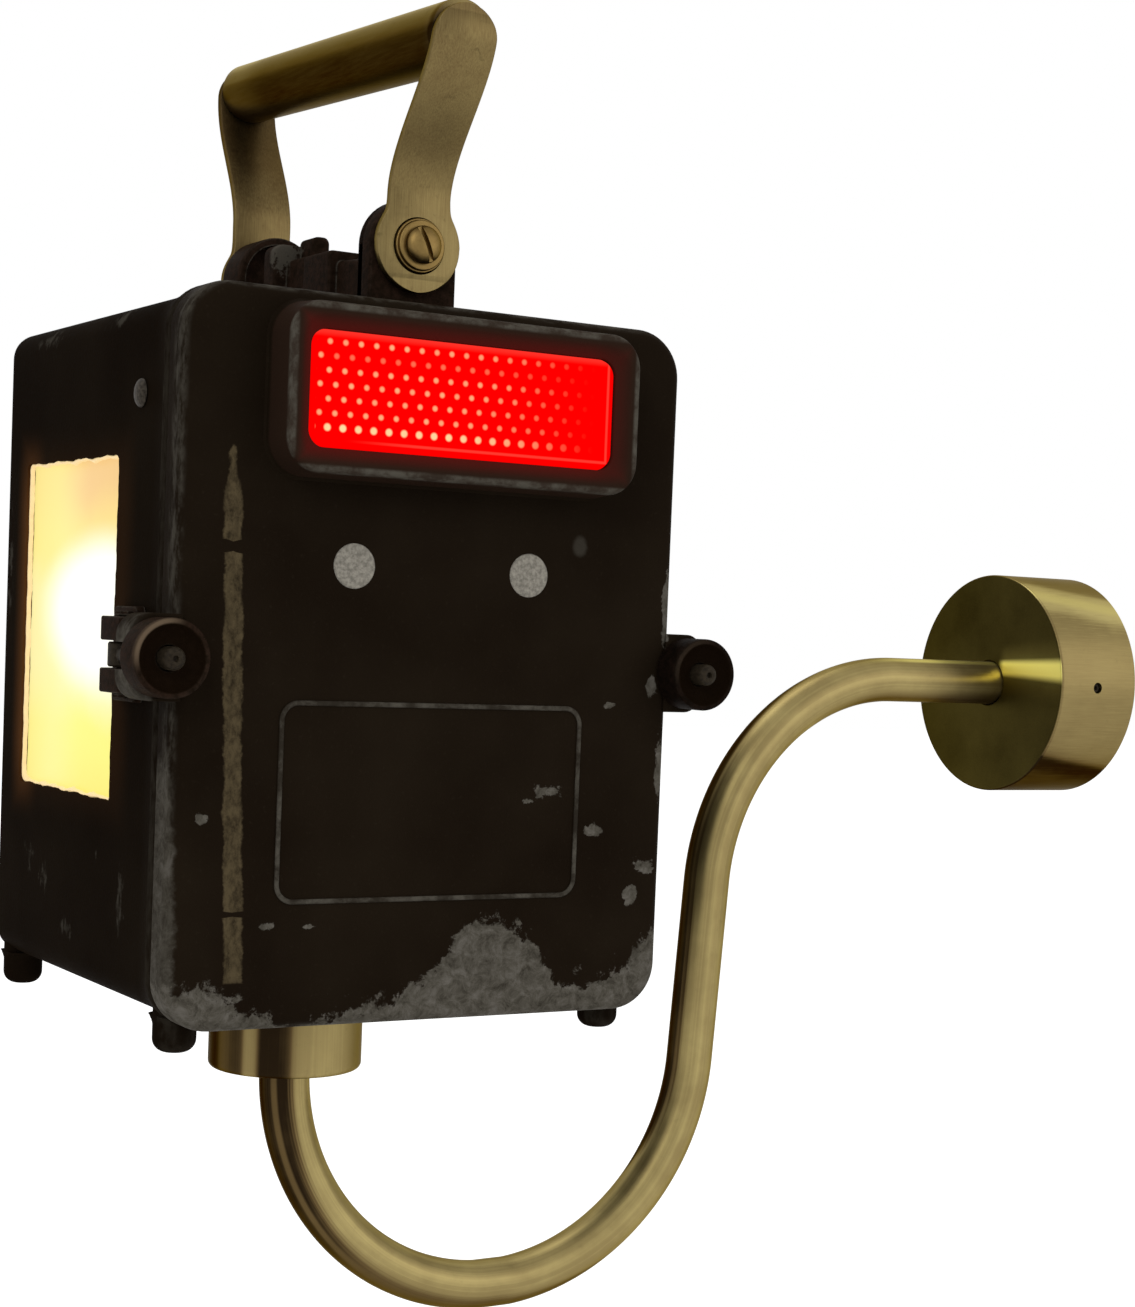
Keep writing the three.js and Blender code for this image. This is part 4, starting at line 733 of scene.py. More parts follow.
def tube_brass(looks):
    """Satin brass on the tube, on the tube's own map, whose first way runs round from the
    side next to the wall over the inside of the bend, the front and the outside. Painted dark
    reflections lie on the outside at first and on the inside further on, each with its edge
    drawn by a curve; a painted light streak, a painted highlight line and painted shade
    underneath near the canopy, and a lighter end are added to the tone."""
    f = Finish("tube_brass")
    around, along = f.axes(f.uv())[:2]
    streaks = f.noise(f.uv(), 1.0, 4.0, 0.65, stretch=(26.0, 1.2, 1.0))
    cloud = f.noise(f.uv(), 1.0, 4.0, 0.6, stretch=(3.0, 22.0, 1.0))
    wander = (streaks - 0.5) * 0.16
    outer_edge = f.curve(along, (0.0, 0.5), (0.06, 0.505), (0.14, 0.54), (0.22, 0.53),
                         (0.3, 0.54), (0.38, 0.66), (0.48, 0.86), (1.0, 0.86))
    inner_edge = f.curve(along, (0.0, 0.0), (0.33, 0.0), (0.4, 0.14), (0.46, 0.29), (0.55, 0.335),
                         (0.66, 0.32), (0.8, 0.24), (0.9, 0.05), (1.0, 0.05))
    # Painted dark reflections on the outside and the inside.
    outer = f.step(around - outer_edge + wander, -0.02, 0.06)
    outer = outer * f.step(around, 0.98, 0.93)
    outer = outer * f.curve(along, (0.0, 1.0), (0.12, 0.95), (0.2, 0.6), (0.4, 0.5), (1.0, 0.5))
    # A painted light streak early on the tube.
    light_streak = f.step(abs(around - 0.635), 0.03, 0.01) * f.step(along, 0.2, 0.12)
    inner = f.step(inner_edge - around + wander, -0.03, 0.05)
    inner = inner * f.step(around, 0.03, 0.08)
    dark = f.most(outer, inner * 0.98)
    # A painted highlight line near the canopy, and painted shade underneath it.
    line = f.step(abs(around - 0.31), 0.045, 0.01) * f.step(along, 0.84, 0.92)
    under = f.step(around, 0.56, 0.66) * f.step(along, 0.78, 0.86)
    tone = (
        0.8 - dark * 0.8 - along * 0.02 + light_streak * 0.3 + f.step(along, 0.93, 0.98) * 0.12
        + line * 0.3 - under * 0.45
    )
    return brass_body(
        f, looks, tone, streaks, cloud, f.noise(f.uv(), 1.0, 5.0, 0.7, stretch=(8.0, 70.0, 1.0)),
        0.15, 0.8, glint=line * 0.5
    )


def dull_metal(name, colour, dark, rough, metallic=0.6, scale=1.2):
    """Plain worn metal: a mottled colour and roughness, with a fine grain."""
    f = Finish(name)
    place = f.place()
    mottling = f.noise(place, scale, 5.0, 0.65)
    return f.set(
        Base_Color=f.mix(f.step(mottling, 0.3, 0.7), dark, colour), Metallic=metallic,
        Roughness=mottling * 0.2 + (rough - 0.1), Specular_IOR_Level=0.05,
        Normal=f.bump(mottling, 0.15, 0.0003)
    )


def lens_glow(looks):
    """Clear red plastic lit from behind: seven rows of pale dots, every second row shifted by
    half a pitch, brightest in the lowest row, that fade out to the right."""
    f = Finish("lens_glow")
    place = f.place(MIDDLE + np.array([looks.lens_shift, 0, looks.lens_rise]))
    x, y, z = f.axes(place)
    pitch, step, top, first, shifted = 3.64, 3.02, 9.9, -33.4, 0.55  # the grid of the dots
    row = (top - z) / step
    nearest = round(row)
    odd = (nearest + 8.0) % 2.0
    column = (x - first) / pitch + 30.0 + odd * shifted
    off_row = (row - nearest) * step
    off_column = (column - round(column)) * pitch
    lowest = f.step(nearest, 5.4, 5.6)
    second = f.rise_and_fall(nearest, 0.4, 0.6, 1.4, 1.6)
    near = f.step(f.away(off_row, off_column) - lowest * 0.2, 0.82, 0.3)
    inside = f.step(x, -36.4, -36.0) * f.rise_and_fall(nearest, -0.6, -0.4, 6.4, 6.6)
    flicker = f.noise(place, 0.12, 3.0, 0.7)
    fade = f.step(x, 33.0, -6.0) * (flicker * 0.7 + 0.4) * (lowest * 0.5 + 0.75)
    fade = fade * (second * f.step(x, -36.0, -33.5) * -0.62 + 1.0)
    dot = f.math("MULTIPLY", near * inside, fade, clamp=True)
    # Painted highlights along the lens's upper edge and along its right and lower edges.
    rim = f.step(z - 10.6, 0.0, 1.6) * 0.35
    border = f.most(x - 36.0, -z - 10.8)
    inset = f.step(abs(border), 0.45, 0.1) * f.step(x, -30.0, -10.0)
    rim = f.most(rim, inset * 0.5)
    red = f.mix(rim, looks.lens, looks.lens_bright)
    colour = f.mix(dot, red, looks.lens_dot)
    return f.set(
        Base_Color=looks.lens_body, Roughness=0.3, Specular_IOR_Level=0.0, Emission_Color=colour,
        Emission_Strength=1.0
    )


def pane_glow(looks):
    """The lit side window: a white hot spot towards the front, pale yellow below, peach high
    up at the front and yellow along the rear."""
    f = Finish("pane_glow")
    place = f.place()
    x, y, z = f.axes(place)
    cloud = f.noise(place, 0.05, 3.0, 0.5)
    wave = (cloud - 0.5) * 8.0
    height = (z + wave) / 80 + 0.45
    colour = f.ramp(height, (0.0, looks.pane_low), (0.2, looks.pane_yellow),
                    (0.42, looks.pane_pale), (0.6, looks.pane_pale), (0.76, looks.pane_yellow_top),
                    (0.95, looks.pane_peach), ease="EASE")
    rear = f.step(wave * 0.4 + y, 66, 92)
    colour = f.mix(rear * 0.75, colour, looks.pane_rear)
    spot = f.blots(y, z, (55, 9, 46, 20))
    hot = f.step(wave * 0.012 + spot, -0.1, 0.45)
    colour = f.mix(hot, colour, looks.pane_white)
    return f.set(
        Base_Color=looks.pane_body, Roughness=0.35, Specular_IOR_Level=0.05, Emission_Color=colour,
        Emission_Strength=hot * 0.12 + 0.93
    )


def plain_plastic(name, colour, rough, lit=None):
    """Moulded plastic or rubber: an even colour with a slight mottle and a fine grain. Light
    that comes through it is a glow of its own."""
    f = Finish(name)
    mottling = f.noise(f.place(), 0.8, 4.0, 0.6)
    dark = [0.8 * part for part in colour]
    if lit:
        f.set(Emission_Color=lit, Emission_Strength=0.6)
    return f.set(
        Base_Color=f.mix(f.step(mottling, 0.3, 0.7), dark, colour),
        Roughness=mottling * 0.15 + (rough - 0.07), Normal=f.bump(mottling, 0.1, 0.0002)
    )


def frosted_glass(looks):
    """Frosted bulb glass: white, half clear, with a faint cloud."""
    f = Finish("frosted_glass")
    cloud = f.noise(f.place(), 0.1, 3.0, 0.5)
    return f.set(
        Base_Color=f.mix(cloud, looks.bulb, (1.0, 1.0, 1.0)), Roughness=0.5,
        Transmission_Weight=0.4, Emission_Color=looks.bulb, Emission_Strength=0.6
    )


FINISHES = {}  # the materials by their short names, filled by the first operator


# Sizes and colours that a user would change

def length(name, description, default):
    return bpy.props.FloatProperty(
        name=name, description=description, default=default, min=0.0, unit="LENGTH",
        subtype="DISTANCE", precision=5,
    )


def colour(name, description, default):
    return bpy.props.FloatVectorProperty(
        name=name, description=description, default=default, size=3, min=0.0, max=1.0,
        subtype="COLOR",
    )


class LanternColours(bpy.types.PropertyGroup):
    """Colours of the finishes."""

    paint: colour("Paint", "Brown-black paint where it is sound", (0.0082, 0.0052, 0.003))
    paint_worn: colour("Worn paint", "The paint where it has faded", (0.0125, 0.0085, 0.005))
    # Brown paint; on the raised lens frame the same colour stands for the lens's painted red glow.
    brown_paint_and_lens_glow: colour("Brown paint", "The paint where it has browned", (0.024, 0.013, 0.0085))
    paint_dish: colour("Knob dish", "The paint inside a knob's dish", (0.006, 0.0032, 0.0014))
    # A painted highlight on the upper left of a knob's rim.
    knob_rim_highlight: colour("Knob rim", "The rubbed rim of a knob", (0.11, 0.078, 0.05))
    paint_dust: colour("Dust", "Dust and haze on the paint", (0.024, 0.018, 0.0115))
    bare: colour("Bare metal", "Grey metal where the paint is gone", (0.072, 0.065, 0.052))
    bare_dark: colour("Stained metal", "Bare metal with a dark stain", (0.028, 0.024, 0.018))
    bare_light: colour("Rubbed metal", "Bare metal rubbed bright", (0.115, 0.105, 0.09))
    stripe: colour("Stripe", "The tan stripe down the cover", (0.085, 0.064, 0.034))
    stripe_dark: colour("Stained stripe", "Dark spots in the stripe", (0.022, 0.016, 0.009))
    pane_halo: colour("Pane halo", "The case round the lit window", (0.1, 0.04, 0.013))
    red_glow: colour("Red glow", "The frame's slope in the lens's light", (0.07, 0.008, 0.006))
    brass_light: colour("Bright brass", "Brass where it is brightest", (0.46, 0.38, 0.155))
    brass: colour("Brass", "Satin brass", (0.225, 0.172, 0.07))
    brass_dull: colour("Dull brass", "Brass that has dulled", (0.094, 0.062, 0.025))
    # The darkest brass: real tarnish in the specks, and painted shade and dark reflections where a
    # finish's tone runs low.
    brass_dark: colour("Tarnish", "Dark tarnish on brass", (0.014, 0.0085, 0.004))
    brass_warmth: colour("Brass warmth", "What warm brass is multiplied by", (1.0, 0.74, 0.42))
    brass_olive: colour("Brass olive", "What olive brass is multiplied by", (0.84, 1.0, 0.68))
    brass_glint: colour("Brass glint", "The brightest reflections in brass", (1.0, 0.9, 0.24))
    brass_edge: colour("Brass edge", "Tint of the brass seen along its surface", (0.5, 0.45, 0.35))
    lens: colour("Lens", "The lit lens", (1.0, 0.0, 0.0))
    lens_bright: colour("Lens edge", "The lens along its upper edge", (1.0, 0.09, 0.06))
    lens_dot: colour("Lens dots", "The pale dots in the lens", (1.0, 0.72, 0.36))
    lens_body: colour("Lens body", "The lens plastic itself", (0.02, 0.0, 0.0))
    lens_shift: length("Lens shift", "The lens's offset to the right", 0.0007)
    lens_rise: length("Lens rise", "The lens centre above the cover's middle", 0.05825)
    pane_white: colour("Hot spot", "The window's hot spot", (1.0, 1.0, 0.93))
    pane_pale: colour("Pale light", "The window round the hot spot", (1.0, 0.975, 0.76))
    pane_yellow: colour("Yellow light", "The window's lower part", (1.0, 0.94, 0.23))
    pane_yellow_top: colour("Upper light", "The window above the hot spot", (1.0, 0.79, 0.26))
    pane_peach: colour("Peach light", "The window's top", (0.9, 0.58, 0.24))
    pane_low: colour("Low light", "The window's bottom edge", (1.0, 0.86, 0.2))
    pane_rear: colour("Rear light", "The window towards the back", (1.0, 0.88, 0.3))
    pane_body: colour("Pane", "The pane's own plastic", (0.1, 0.08, 0.04))
    bulb: colour("Bulb", "The bulb's warm white", (1.0, 0.9, 0.7))


class LanternCaseSizes(bpy.types.PropertyGroup):
    """Sizes of the case and what is on it."""

    width: length("Case width", "Outside width of the case", 0.12)
    height: length("Case height", "Outside height of the case", 0.156)
    corner: length("Corner", "Radius of the case's long corners", 0.0065)
    rear_round: length("Rear round", "Radius round the case's back", 0.004)
    wall: length("Wall", "Thickness of the case's walls", 0.002)
    band: length("Band", "Length of the proud band", 0.003)
    flare: length("Flare", "Length of the hollow flare behind the band", 0.0105)
    window_length: length("Window length", "The side window, front to back", 0.0642)
    window_height: length("Window height", "The side window's height", 0.0782)
    window_rise: length("Window rise", "The window's centre above the cover's middle", 0.0054)
    foot: length("Foot", "Diameter of a foot", 0.0096)


class LanternCoverSizes(bpy.types.PropertyGroup):
    """Sizes of the front cover."""

    width: length("Cover width", "Outside width of the cover", 0.124)
    height: length("Cover height", "Outside height of the cover", 0.16)
    corner: length("Corner", "Radius of the cover's corners", 0.011)
    edge: length("Edge", "Round on the cover's front edge", 0.0032)
    frame_width: length("Frame width", "Width of the raised lens frame", 0.0877)
    frame_height: length("Frame height", "Height of the raised lens frame", 0.0373)
    frame_shift: length("Frame shift", "The lens frame's offset to the right", 0.0007)
    frame_proud: length("Frame proud", "How far the lens frame stands forward", 0.0105)
    lens_width: length("Lens width", "Clear width of the lens", 0.0754)
    lens_height: length("Lens height", "Clear height of the lens", 0.025)
    border_width: length("Border width", "Width of the raised border", 0.076)
    border_height: length("Border height", "Height of the raised border", 0.0445)
    border_line: length("Border line", "Width of the border's line", 0.0013)


class LanternHandleSizes(bpy.types.PropertyGroup):
    """Sizes of the handle."""

    pivot: length("Pivot", "The pivots above the cover's middle", 0.0949)
    strip: length("Strip width", "Width of a handle arm", 0.0155)
    thickness: length("Strip thickness", "Thickness of a handle arm", 0.002)
    eye: length("Eye", "Diameter of an arm's eye", 0.021)
    grip: length("Grip", "Diameter of the grip", 0.015)
    rise: length("Rise", "From the pivot up to the grip at the front", 0.0446)
    rear_rise: length("Rear rise", "How much longer the rear arm is", 0.0065)
    grip_lift: length("Grip lift", "The grip above the middle of an arm's round end", 0.0017)
    front_crank: length("Front crank", "How far the front arm steps outwards", 0.0198)
    front_from: length("Front crank start", "Where that step starts, above the pivot", 0.0106)
    front_to: length("Front crank end", "Where that step ends", 0.0469)
    rear_crank: length("Rear crank", "How far the rear arm steps outwards", 0.0128)
    rear_from: length("Rear crank start", "Where that step starts, above the pivot", 0.0154)
    rear_to: length("Rear crank end", "Where that step ends", 0.0492)


class LanternTubeSizes(bpy.types.PropertyGroup):
    """Sizes of the swan-neck tube."""

    diameter: length("Tube", "Outside diameter of the tube", 0.0127)
    bend: length("Bend radius", "Radius of both bends", 0.0615)
    rise: length("Rise", "Straight length between the bends", 0.0495)
    run: length("Run", "Level length up to the canopy", 0.0376)


class LanternStage(bpy.types.PropertyGroup):
    """Camera and light."""

    focal: bpy.props.FloatProperty(
        name="Focal length", description="Camera focal length in millimetres", default=65.447,
        min=10.0,
    )
    floor_drop: length("Floor", "The floor below the lamp", 0.12)
    daylight: bpy.props.FloatProperty(
        name="Daylight", description="Strength of the plain room light", default=0.75, min=0.0,
    )


# Pieces

class LANTERN_OT_finishes(bpy.types.Operator):
    """Makes the finishes and gives the inner parts theirs"""

    bl_idname = "lantern.finishes"
    bl_label = "Finishes"

    def execute(self, context):
        looks = context.scene.lantern_colours
        FINISHES.update(
            cover=cover_paint(looks),
            case=case_paint(looks),
            casting=casting_paint(looks),
            tube=tube_brass(looks),
            # Tone by height for each arm: darker towards the top as painted dark reflections, the
            # rear arm darker overall.
            arm_front=arm_brass("front_arm_brass", looks, (0.0, 0.58), (0.25, 0.56), (0.4, 0.5),
                                (0.75, 0.5), (0.9, 0.46), (1.0, 0.38)),
            arm_rear=arm_brass("rear_arm_brass", looks, (0.0, 0.44), (0.3, 0.47), (0.5, 0.42),
                               (0.75, 0.3), (0.9, 0.16), (1.0, 0.14)),
            grip=grip_brass(looks),
            ferrule=ferrule_brass(looks, centre_of("ferrule")),
            canopy=canopy_brass(looks, centre_of("canopy")),
            bush=brushed_brass("bush_brass", looks, 0.58, 0.4, 0.45),
            plug=dull_metal("plug_metal", (0.27, 0.25, 0.21), (0.13, 0.12, 0.1), 0.55, 0.2),
            bolt=dull_metal("bolt_metal", (0.028, 0.021, 0.013), (0.011, 0.008, 0.005), 0.5, 0.0),
            rivet=dull_metal("rivet_metal", (0.06, 0.05, 0.038), (0.014, 0.011, 0.008), 0.45, 0.1),
            zinc=dull_metal("zinc_steel", (0.45, 0.45, 0.43), (0.3, 0.3, 0.29), 0.4, 0.9),
            rubber=plain_plastic("seal_rubber", (0.012, 0.011, 0.01), 0.85),
            holder=plain_plastic("holder_plastic", (0.012, 0.01, 0.008), 0.4),
            terminal=plain_plastic("terminal_plastic", (0.75, 0.72, 0.66), 0.5),
            lens=lens_glow(looks),
            pane=pane_glow(looks),
            bead=plain_plastic("pane_bead", (0.55, 0.4, 0.2), 0.5, (0.9, 0.68, 0.34)),
            bulb=frosted_glass(looks),
        )
        kept = {
            "zinc": ("lens_retainer", "retainer_screw_left", "retainer_screw_right",
                     "bracket_screw_front", "bracket_screw_rear", "nipple", "lock_washer",
                     "lock_nut", "bulb_cap", "wall_plate"),
            "bolt": ("grub_screw_front", "grub_screw_rear"),
            "rubber": ("cover_gasket", "lens_seal"),
            "holder": ("lampholder",),
            "terminal": ("terminal_block",),
            "bush": ("canopy_collar",),
            "bulb": ("bulb_glass",),
            "casting": ("clamp_pin_left", "clamp_pin_right"),
        }
        for name, nodes in kept.items():
            for node in nodes:
                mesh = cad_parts[node].data
                mesh.materials.clear()
                mesh.materials.append(FINISHES[name])
        return {"FINISHED"}


class LANTERN_OT_case(bpy.types.Operator):
    """Case shell with its band, feet and hand-cut side window"""

    bl_idname = "lantern.case"
    bl_label = "Case"

    def execute(self, context):
        size = context.scene.lantern_case
        w, h, r, wall, round_, flare = in_mm(
            size, "width", "height", "corner", "wall", "rear_round", "flare")
        cw, ch, cr = in_mm(context.scene.lantern_cover, "width", "height", "corner")
        (_, face, _), (_, back, _) = box_mm("case_shell")
        band = face + size.band / MM
        shoulder = [
            (band + flare * t, w + (cw - w) * (1 - t) ** 2, h + (ch - h) * (1 - t) ** 2,
             r + (cr - r) * (1 - t) ** 2)
            for t in np.linspace(1, 0, 14)
        ]
        sections = (
            edge_round(back, w, h, r, round_, -1, 8)
            + shoulder
            + edge_round(face, cw, ch, cr, 1.0, 1, 4)[::-1]
            + [(face, w - 8, h - 8, r - wall), (face + 3.5, w - 8, h - 8, r - wall),
               (face + 3.5, w - 2 * wall, h - 2 * wall, r - wall)]
            + edge_round(back - wall, w - 2 * wall, h - 2 * wall, r - wall, 2, -1, 4)[::-1]
        )
        shell = lofted_mesh("case", sections, steps=12)
        shell = carved(shell, self.window_tool(size))
        feet = [self.foot(size, side, y, outer) for side in (-1, 1)
                for y, outer in ((face + 5.0, -1), (back - 6.2, 1))]
        add_piece("case", joined_mesh("case", [shell] + feet), "case",
                  instead_of="case_shell")
        return {"FINISHED"}

    @staticmethod
    def window_outline(size, grow=0.0, rough=0.35):
        """The hand-cut outline: a rectangle whose edges wander by a sum of three sines of
        the distance along it."""
        length_, height = size.window_length / MM + 2 * grow, size.window_height / MM + 2 * grow
        outline = rounded_outline(length_, height, 1.2, 3)
        loop = np.vstack([outline, outline[:1]])
        step = np.linalg.norm(np.diff(loop, axis=0), axis=1)
        walk = np.concatenate([[0], np.cumsum(step)])
        even = np.linspace(0, walk[-1], 260, endpoint=False)
        points = np.stack([np.interp(even, walk, loop[:, i]) for i in (0, 1)], axis=1)
        wander = rough * (
            0.5 * np.sin(even * 0.37) + 0.35 * np.sin(even * 0.93 + 1.0)
            + 0.25 * np.sin(even * 2.3 + 2.0)
        )
        outward = points / np.linalg.norm(points, axis=1)[:, None]
        return points + outward * wander[:, None]

    @staticmethod
    def on_side(size, x, outline):
        """A ring in the plane of the case's side, round the window's centre."""
        return from_middle(x, outline[:, 0] + STEM[1] / MM, outline[:, 1] + size.window_rise / MM)

    @classmethod
    def window_tool(cls, size):
        outline = cls.window_outline(size)
        return grid_mesh("window_tool", [cls.on_side(size, x, outline) for x in (-64.0, -56.0)])

    @staticmethod
    def foot(size, side, y, outer):
        """A turned nub with a rounded end, drawn up into the case's corner. It flares by the
        square of the way up where it joins the floor, but not past its own outer sides."""
        r = size.foot / MM / 2
        low = box_mm("case_shell")[0][2] + 0.05
        floor = -size.height / MM / 2
        column = floor + size.corner / MM
        profile = (
            [(0, low)] + arc_points((r - 3.0, low + 3.0), 3.0, -90, 0, 7)
            + [(r + 1.3 * t**2, floor - 1.9 + 2.1 * t) for t in np.linspace(0, 1, 6)]
            + [(r, floor + 0.4), (r, column), (0, column)]
        )
        x = side * (size.width / MM / 2 - 6)
        foot = turned_mesh("foot", profile, from_middle(x, y, 0), (0, 0, 1), 40)

        def held_in(points):
            points[:, 0] = side * np.minimum(side * points[:, 0], side * x + r)
            points[:, 1] = outer * np.minimum(outer * points[:, 1], outer * y + r)
            return points
        return reshaped(foot, held_in)


class LANTERN_OT_cover(bpy.types.Operator):
    """Front cover: tray, lens frame, border and lugs"""

    bl_idname = "lantern.cover"
    bl_label = "Front cover"

    def execute(self, context):
        size = context.scene.lantern_cover
        w, h, r, edge = in_mm(size, "width", "height", "corner", "edge")
        depth = COVER_DEPTH / MM
        tray = lofted_mesh("tray", (
            [(2.0, w - 7, h - 7, r - 3), (depth, w - 6, h - 6, r - 3), (depth, w, h, r)]
            + edge_round(0.0, w, h, r, edge, 1, 8)[::-1]
        ), steps=14)
        pieces = [tray, self.lens_frame(size, context.scene.lantern_colours.lens_rise / MM),
                  self.border(size), self.lug(-1), self.lug(1)]
        add_piece("cover", joined_mesh("cover", pieces), "cover",
                  instead_of="front_cover")
        return {"FINISHED"}

    @staticmethod
    def lens_frame(size, rise):
        """Rings of rounded rectangles: a flared foot, a nearly upright side, a rounded rim,
        and a face that slopes in to the lens."""
        w, h, proud, lens_w, lens_h = in_mm(
            size, "frame_width", "frame_height", "frame_proud", "lens_width", "lens_height")
        foot = [(depth, w + more, h + more, corner) for depth, more, corner in (
            (0.6, 1.6, 8.8), (-0.1, 1.4, 8.7), (-0.5, 0.5, 8.2), (-1.4, 0, 8))]
        slope = [(depth - proud, lens_w + more, lens_h + more, corner) for depth, more, corner in (
            (0.15, 6.0, 5.9), (0.45, 5.2, 5.6), (1.0, 3.9, 5.2), (1.9, 1.2, 4.3), (2.3, 0.3, 3.9),
            (3.0, 0.0, 3.8))]
        rim = [
            (-proud + 1.3 * (1 - math.sin(a)), w - 1.0 - 2.6 * (1 - math.cos(a)),
             h - 1.0 - 2.6 * (1 - math.cos(a)), 7.6 - 1.3 * (1 - math.cos(a)))
            for a in np.linspace(0, math.pi / 2, 7)
        ]
        sections = (
            foot + rim + [(0.05 - proud, w - 5.0, h - 5.0, 6.2)] + slope
            + [(0.6, lens_w, lens_h, 3.8), foot[0]]
        )
        return lofted_mesh("lens_frame", sections, (size.frame_shift / MM, rise), 12, ends=False)

    @staticmethod
    def border(size):
        """A low half-round line carried round a rounded rectangle."""
        w, h, line = in_mm(size, "border_width", "border_height", "border_line")
        sections = []
        for angle in np.linspace(0, math.pi, 9):
            inset = line / 2 * (1 - math.cos(angle))
            sections.append((-0.6 * math.sin(angle) + 0.02, w - 2 * inset, h - 2 * inset,
                             4.5 - inset))
        sections += [(0.5, w - 2 * line, h - 2 * line, 4.5 - line), (0.5, w, h, 4.5), sections[0]]
        return lofted_mesh("border", sections, (0, -30.5), 10, ends=False)

    @staticmethod
    def lug(side):
        """A slotted lug: an outline in front view with rounded outer corners, drawn back
        from front to rear with small rounds at both faces."""
        top, tip, root, slot = 9.25, 72.0, 60.5, 2.9
        corner = arc_points((tip - 5.0, top - 5.0), 5.0, 90, 0, 8)
        upper = [(root, top)] + corner + [(tip, slot)]
        bottom = arc_points((66.0, 0.0), slot, 90, 270, 8)
        lower = [(x, -z) for x, z in upper[::-1]]
        outline = np.array(upper + bottom + lower)
        rings = []
        for y, inset in ((8.4, 0.0), (0.7, 0.0), (0.25, 0.15), (0.0, 0.6)):
            ring = outline.copy()
            ring[:, 0] = np.where(ring[:, 0] > 68, ring[:, 0] - inset, ring[:, 0])
            ring[:, 1] -= np.sign(ring[:, 1]) * inset * (np.abs(ring[:, 1]) > 7)
            back = 1.05 * np.clip((ring[:, 0] - 66) / 6, 0, 1) * (1 - y / 8.4)
            rings.append(from_middle(side * ring[:, 0], y + back, ring[:, 1]))
        return grid_mesh("lug", rings)


class LANTERN_OT_lens(bpy.types.Operator):
    """Red reflector lens"""

    bl_idname = "lantern.lens"
    bl_label = "Lens"

    def execute(self, context):
        size = context.scene.lantern_cover
        rise = context.scene.lantern_colours.lens_rise / MM
        w, h, shift = in_mm(size, "lens_width", "lens_height", "frame_shift")
        w, h = w - 0.5, h - 0.5
        low, high = box_mm("reflector_lens")
        front, rear = low[1] + 0.02, high[1] - 0.5
        sections = (
            [(rear, w + 3, h + 3, 5.0), (front + 1.2, w + 3, h + 3, 5.0), (front + 1.2, w, h, 3.6)]
            + edge_round(front, w, h, 3.6, 0.5, 1, 5)[::-1]
            + [(front + 0.04, w - 4.6, h - 4.6, 2.4)]
        )
        add_piece("lens", lofted_mesh("lens", sections, (shift, rise), 12), "lens",
                  instead_of="reflector_lens", sharp=50)
        return {"FINISHED"}


class LANTERN_OT_window(bpy.types.Operator):
    """Lit pane behind the side window, with the bead round its edge"""

    bl_idname = "lantern.window"
    bl_label = "Side window"

    def execute(self, context):
        low, high = box_mm("window_pane")
        outline = rounded_outline(*(high - low)[1:], 1.0, 3)
        rings = []
        for x, inset in ((high[0], 0.3), (high[0] - 0.3, 0.0), (low[0] + 0.3, 0.0), (low[0], 0.3)):
            ring = outline * (1 - inset / 30) + (low + high)[1:] / 2
            rings.append(from_middle(x, *ring.T))
        pane = add_piece("pane", grid_mesh("pane", rings), "pane",
                         instead_of="window_pane")
        pane["lit"] = True
        size = context.scene.lantern_case
        add_piece("pane_bead", self.bead(size), "bead")
        return {"FINISHED"}

    @staticmethod
    def bead(size):
        """A thin irregular bead along the cut: a half-round profile carried round the cut's
        outline, its width a sum of sines of the distance along it."""
        outer = LANTERN_OT_case.window_outline(size, 0.05)
        inner = LANTERN_OT_case.window_outline(size, -0.9, 0.5)
        swell = 0.5 + 0.5 * np.sin(np.linspace(0, 2 * math.pi * 23, len(outer)))
        inner = inner + (outer - inner) * 0.35 * swell[:, None]
        rings = [
            LANTERN_OT_case.on_side(size, x, outer + (inner - outer) * share)
            for share, x in ((0.0, -58.35), (0.0, -58.9), (0.35, -59.35), (0.8, -59.2),
                             (1.0, -58.7), (1.0, -58.35), (0.0, -58.35))
        ]
        return grid_mesh("pane_bead", rings, ends=False)


class LANTERN_OT_plugs(bpy.types.Operator):
    """Blanking plugs on the cover and domed rivets on the case"""

    bl_idname = "lantern.plugs"
    bl_label = "Plugs and rivets"

    def execute(self, context):
        for name in ("plug_left", "plug_right"):
            start = centre_of(name)
            start[1] = MIDDLE[1]
            profile = (
                [(0, -3.2), (6.5, -3.2), (6.5, -2.3), (5.0, -2.3)]
                + arc_points((4.6, -0.15), 0.4, 0, 90, 4)
                + [(3.0, 0.22), (1.4, 0.14), (0, 0.12)]
            )
            add_piece(name + "_disc", turned_mesh(name, profile, start, (0, -1, 0)),
                      "plug", instead_of=name)
        for name in ("side_rivet_left", "side_rivet_right"):
            self.rivet(name, 3.2, 1.4, 1.5, "rivet")
        for side in ("left", "right"):
            for place in ("upper", "lower"):
                self.rivet(f"fork_rivet_{side}_{place}", 2.2, 1.0, 1.3, "casting")
        return {"FINISHED"}

    @staticmethod
    def rivet(name, head, dome, shank, look):
        """A domed head on a short shank: the dome is an arc of an ellipse."""
        start = centre_of(name)
        outward = -1 if start[0] < MIDDLE[0] else 1
        tail, tip = [end[0] for end in box_of(name)][::outward]
        start[0] = tip - outward * dome * MM
        grip = abs(start[0] - tail) / MM
        profile = (
            [(0, -grip), (shank, -grip), (shank, 0.0), (head - 0.1, 0.0)]
            + [(head * math.cos(a), dome * math.sin(a))
               for a in np.linspace(0, math.pi / 2, 9)[:-1]] + [(0, dome)]
        )
        add_piece(name + "_head", turned_mesh(name, profile, start, (outward, 0, 0), 32),
                  look, instead_of=name)


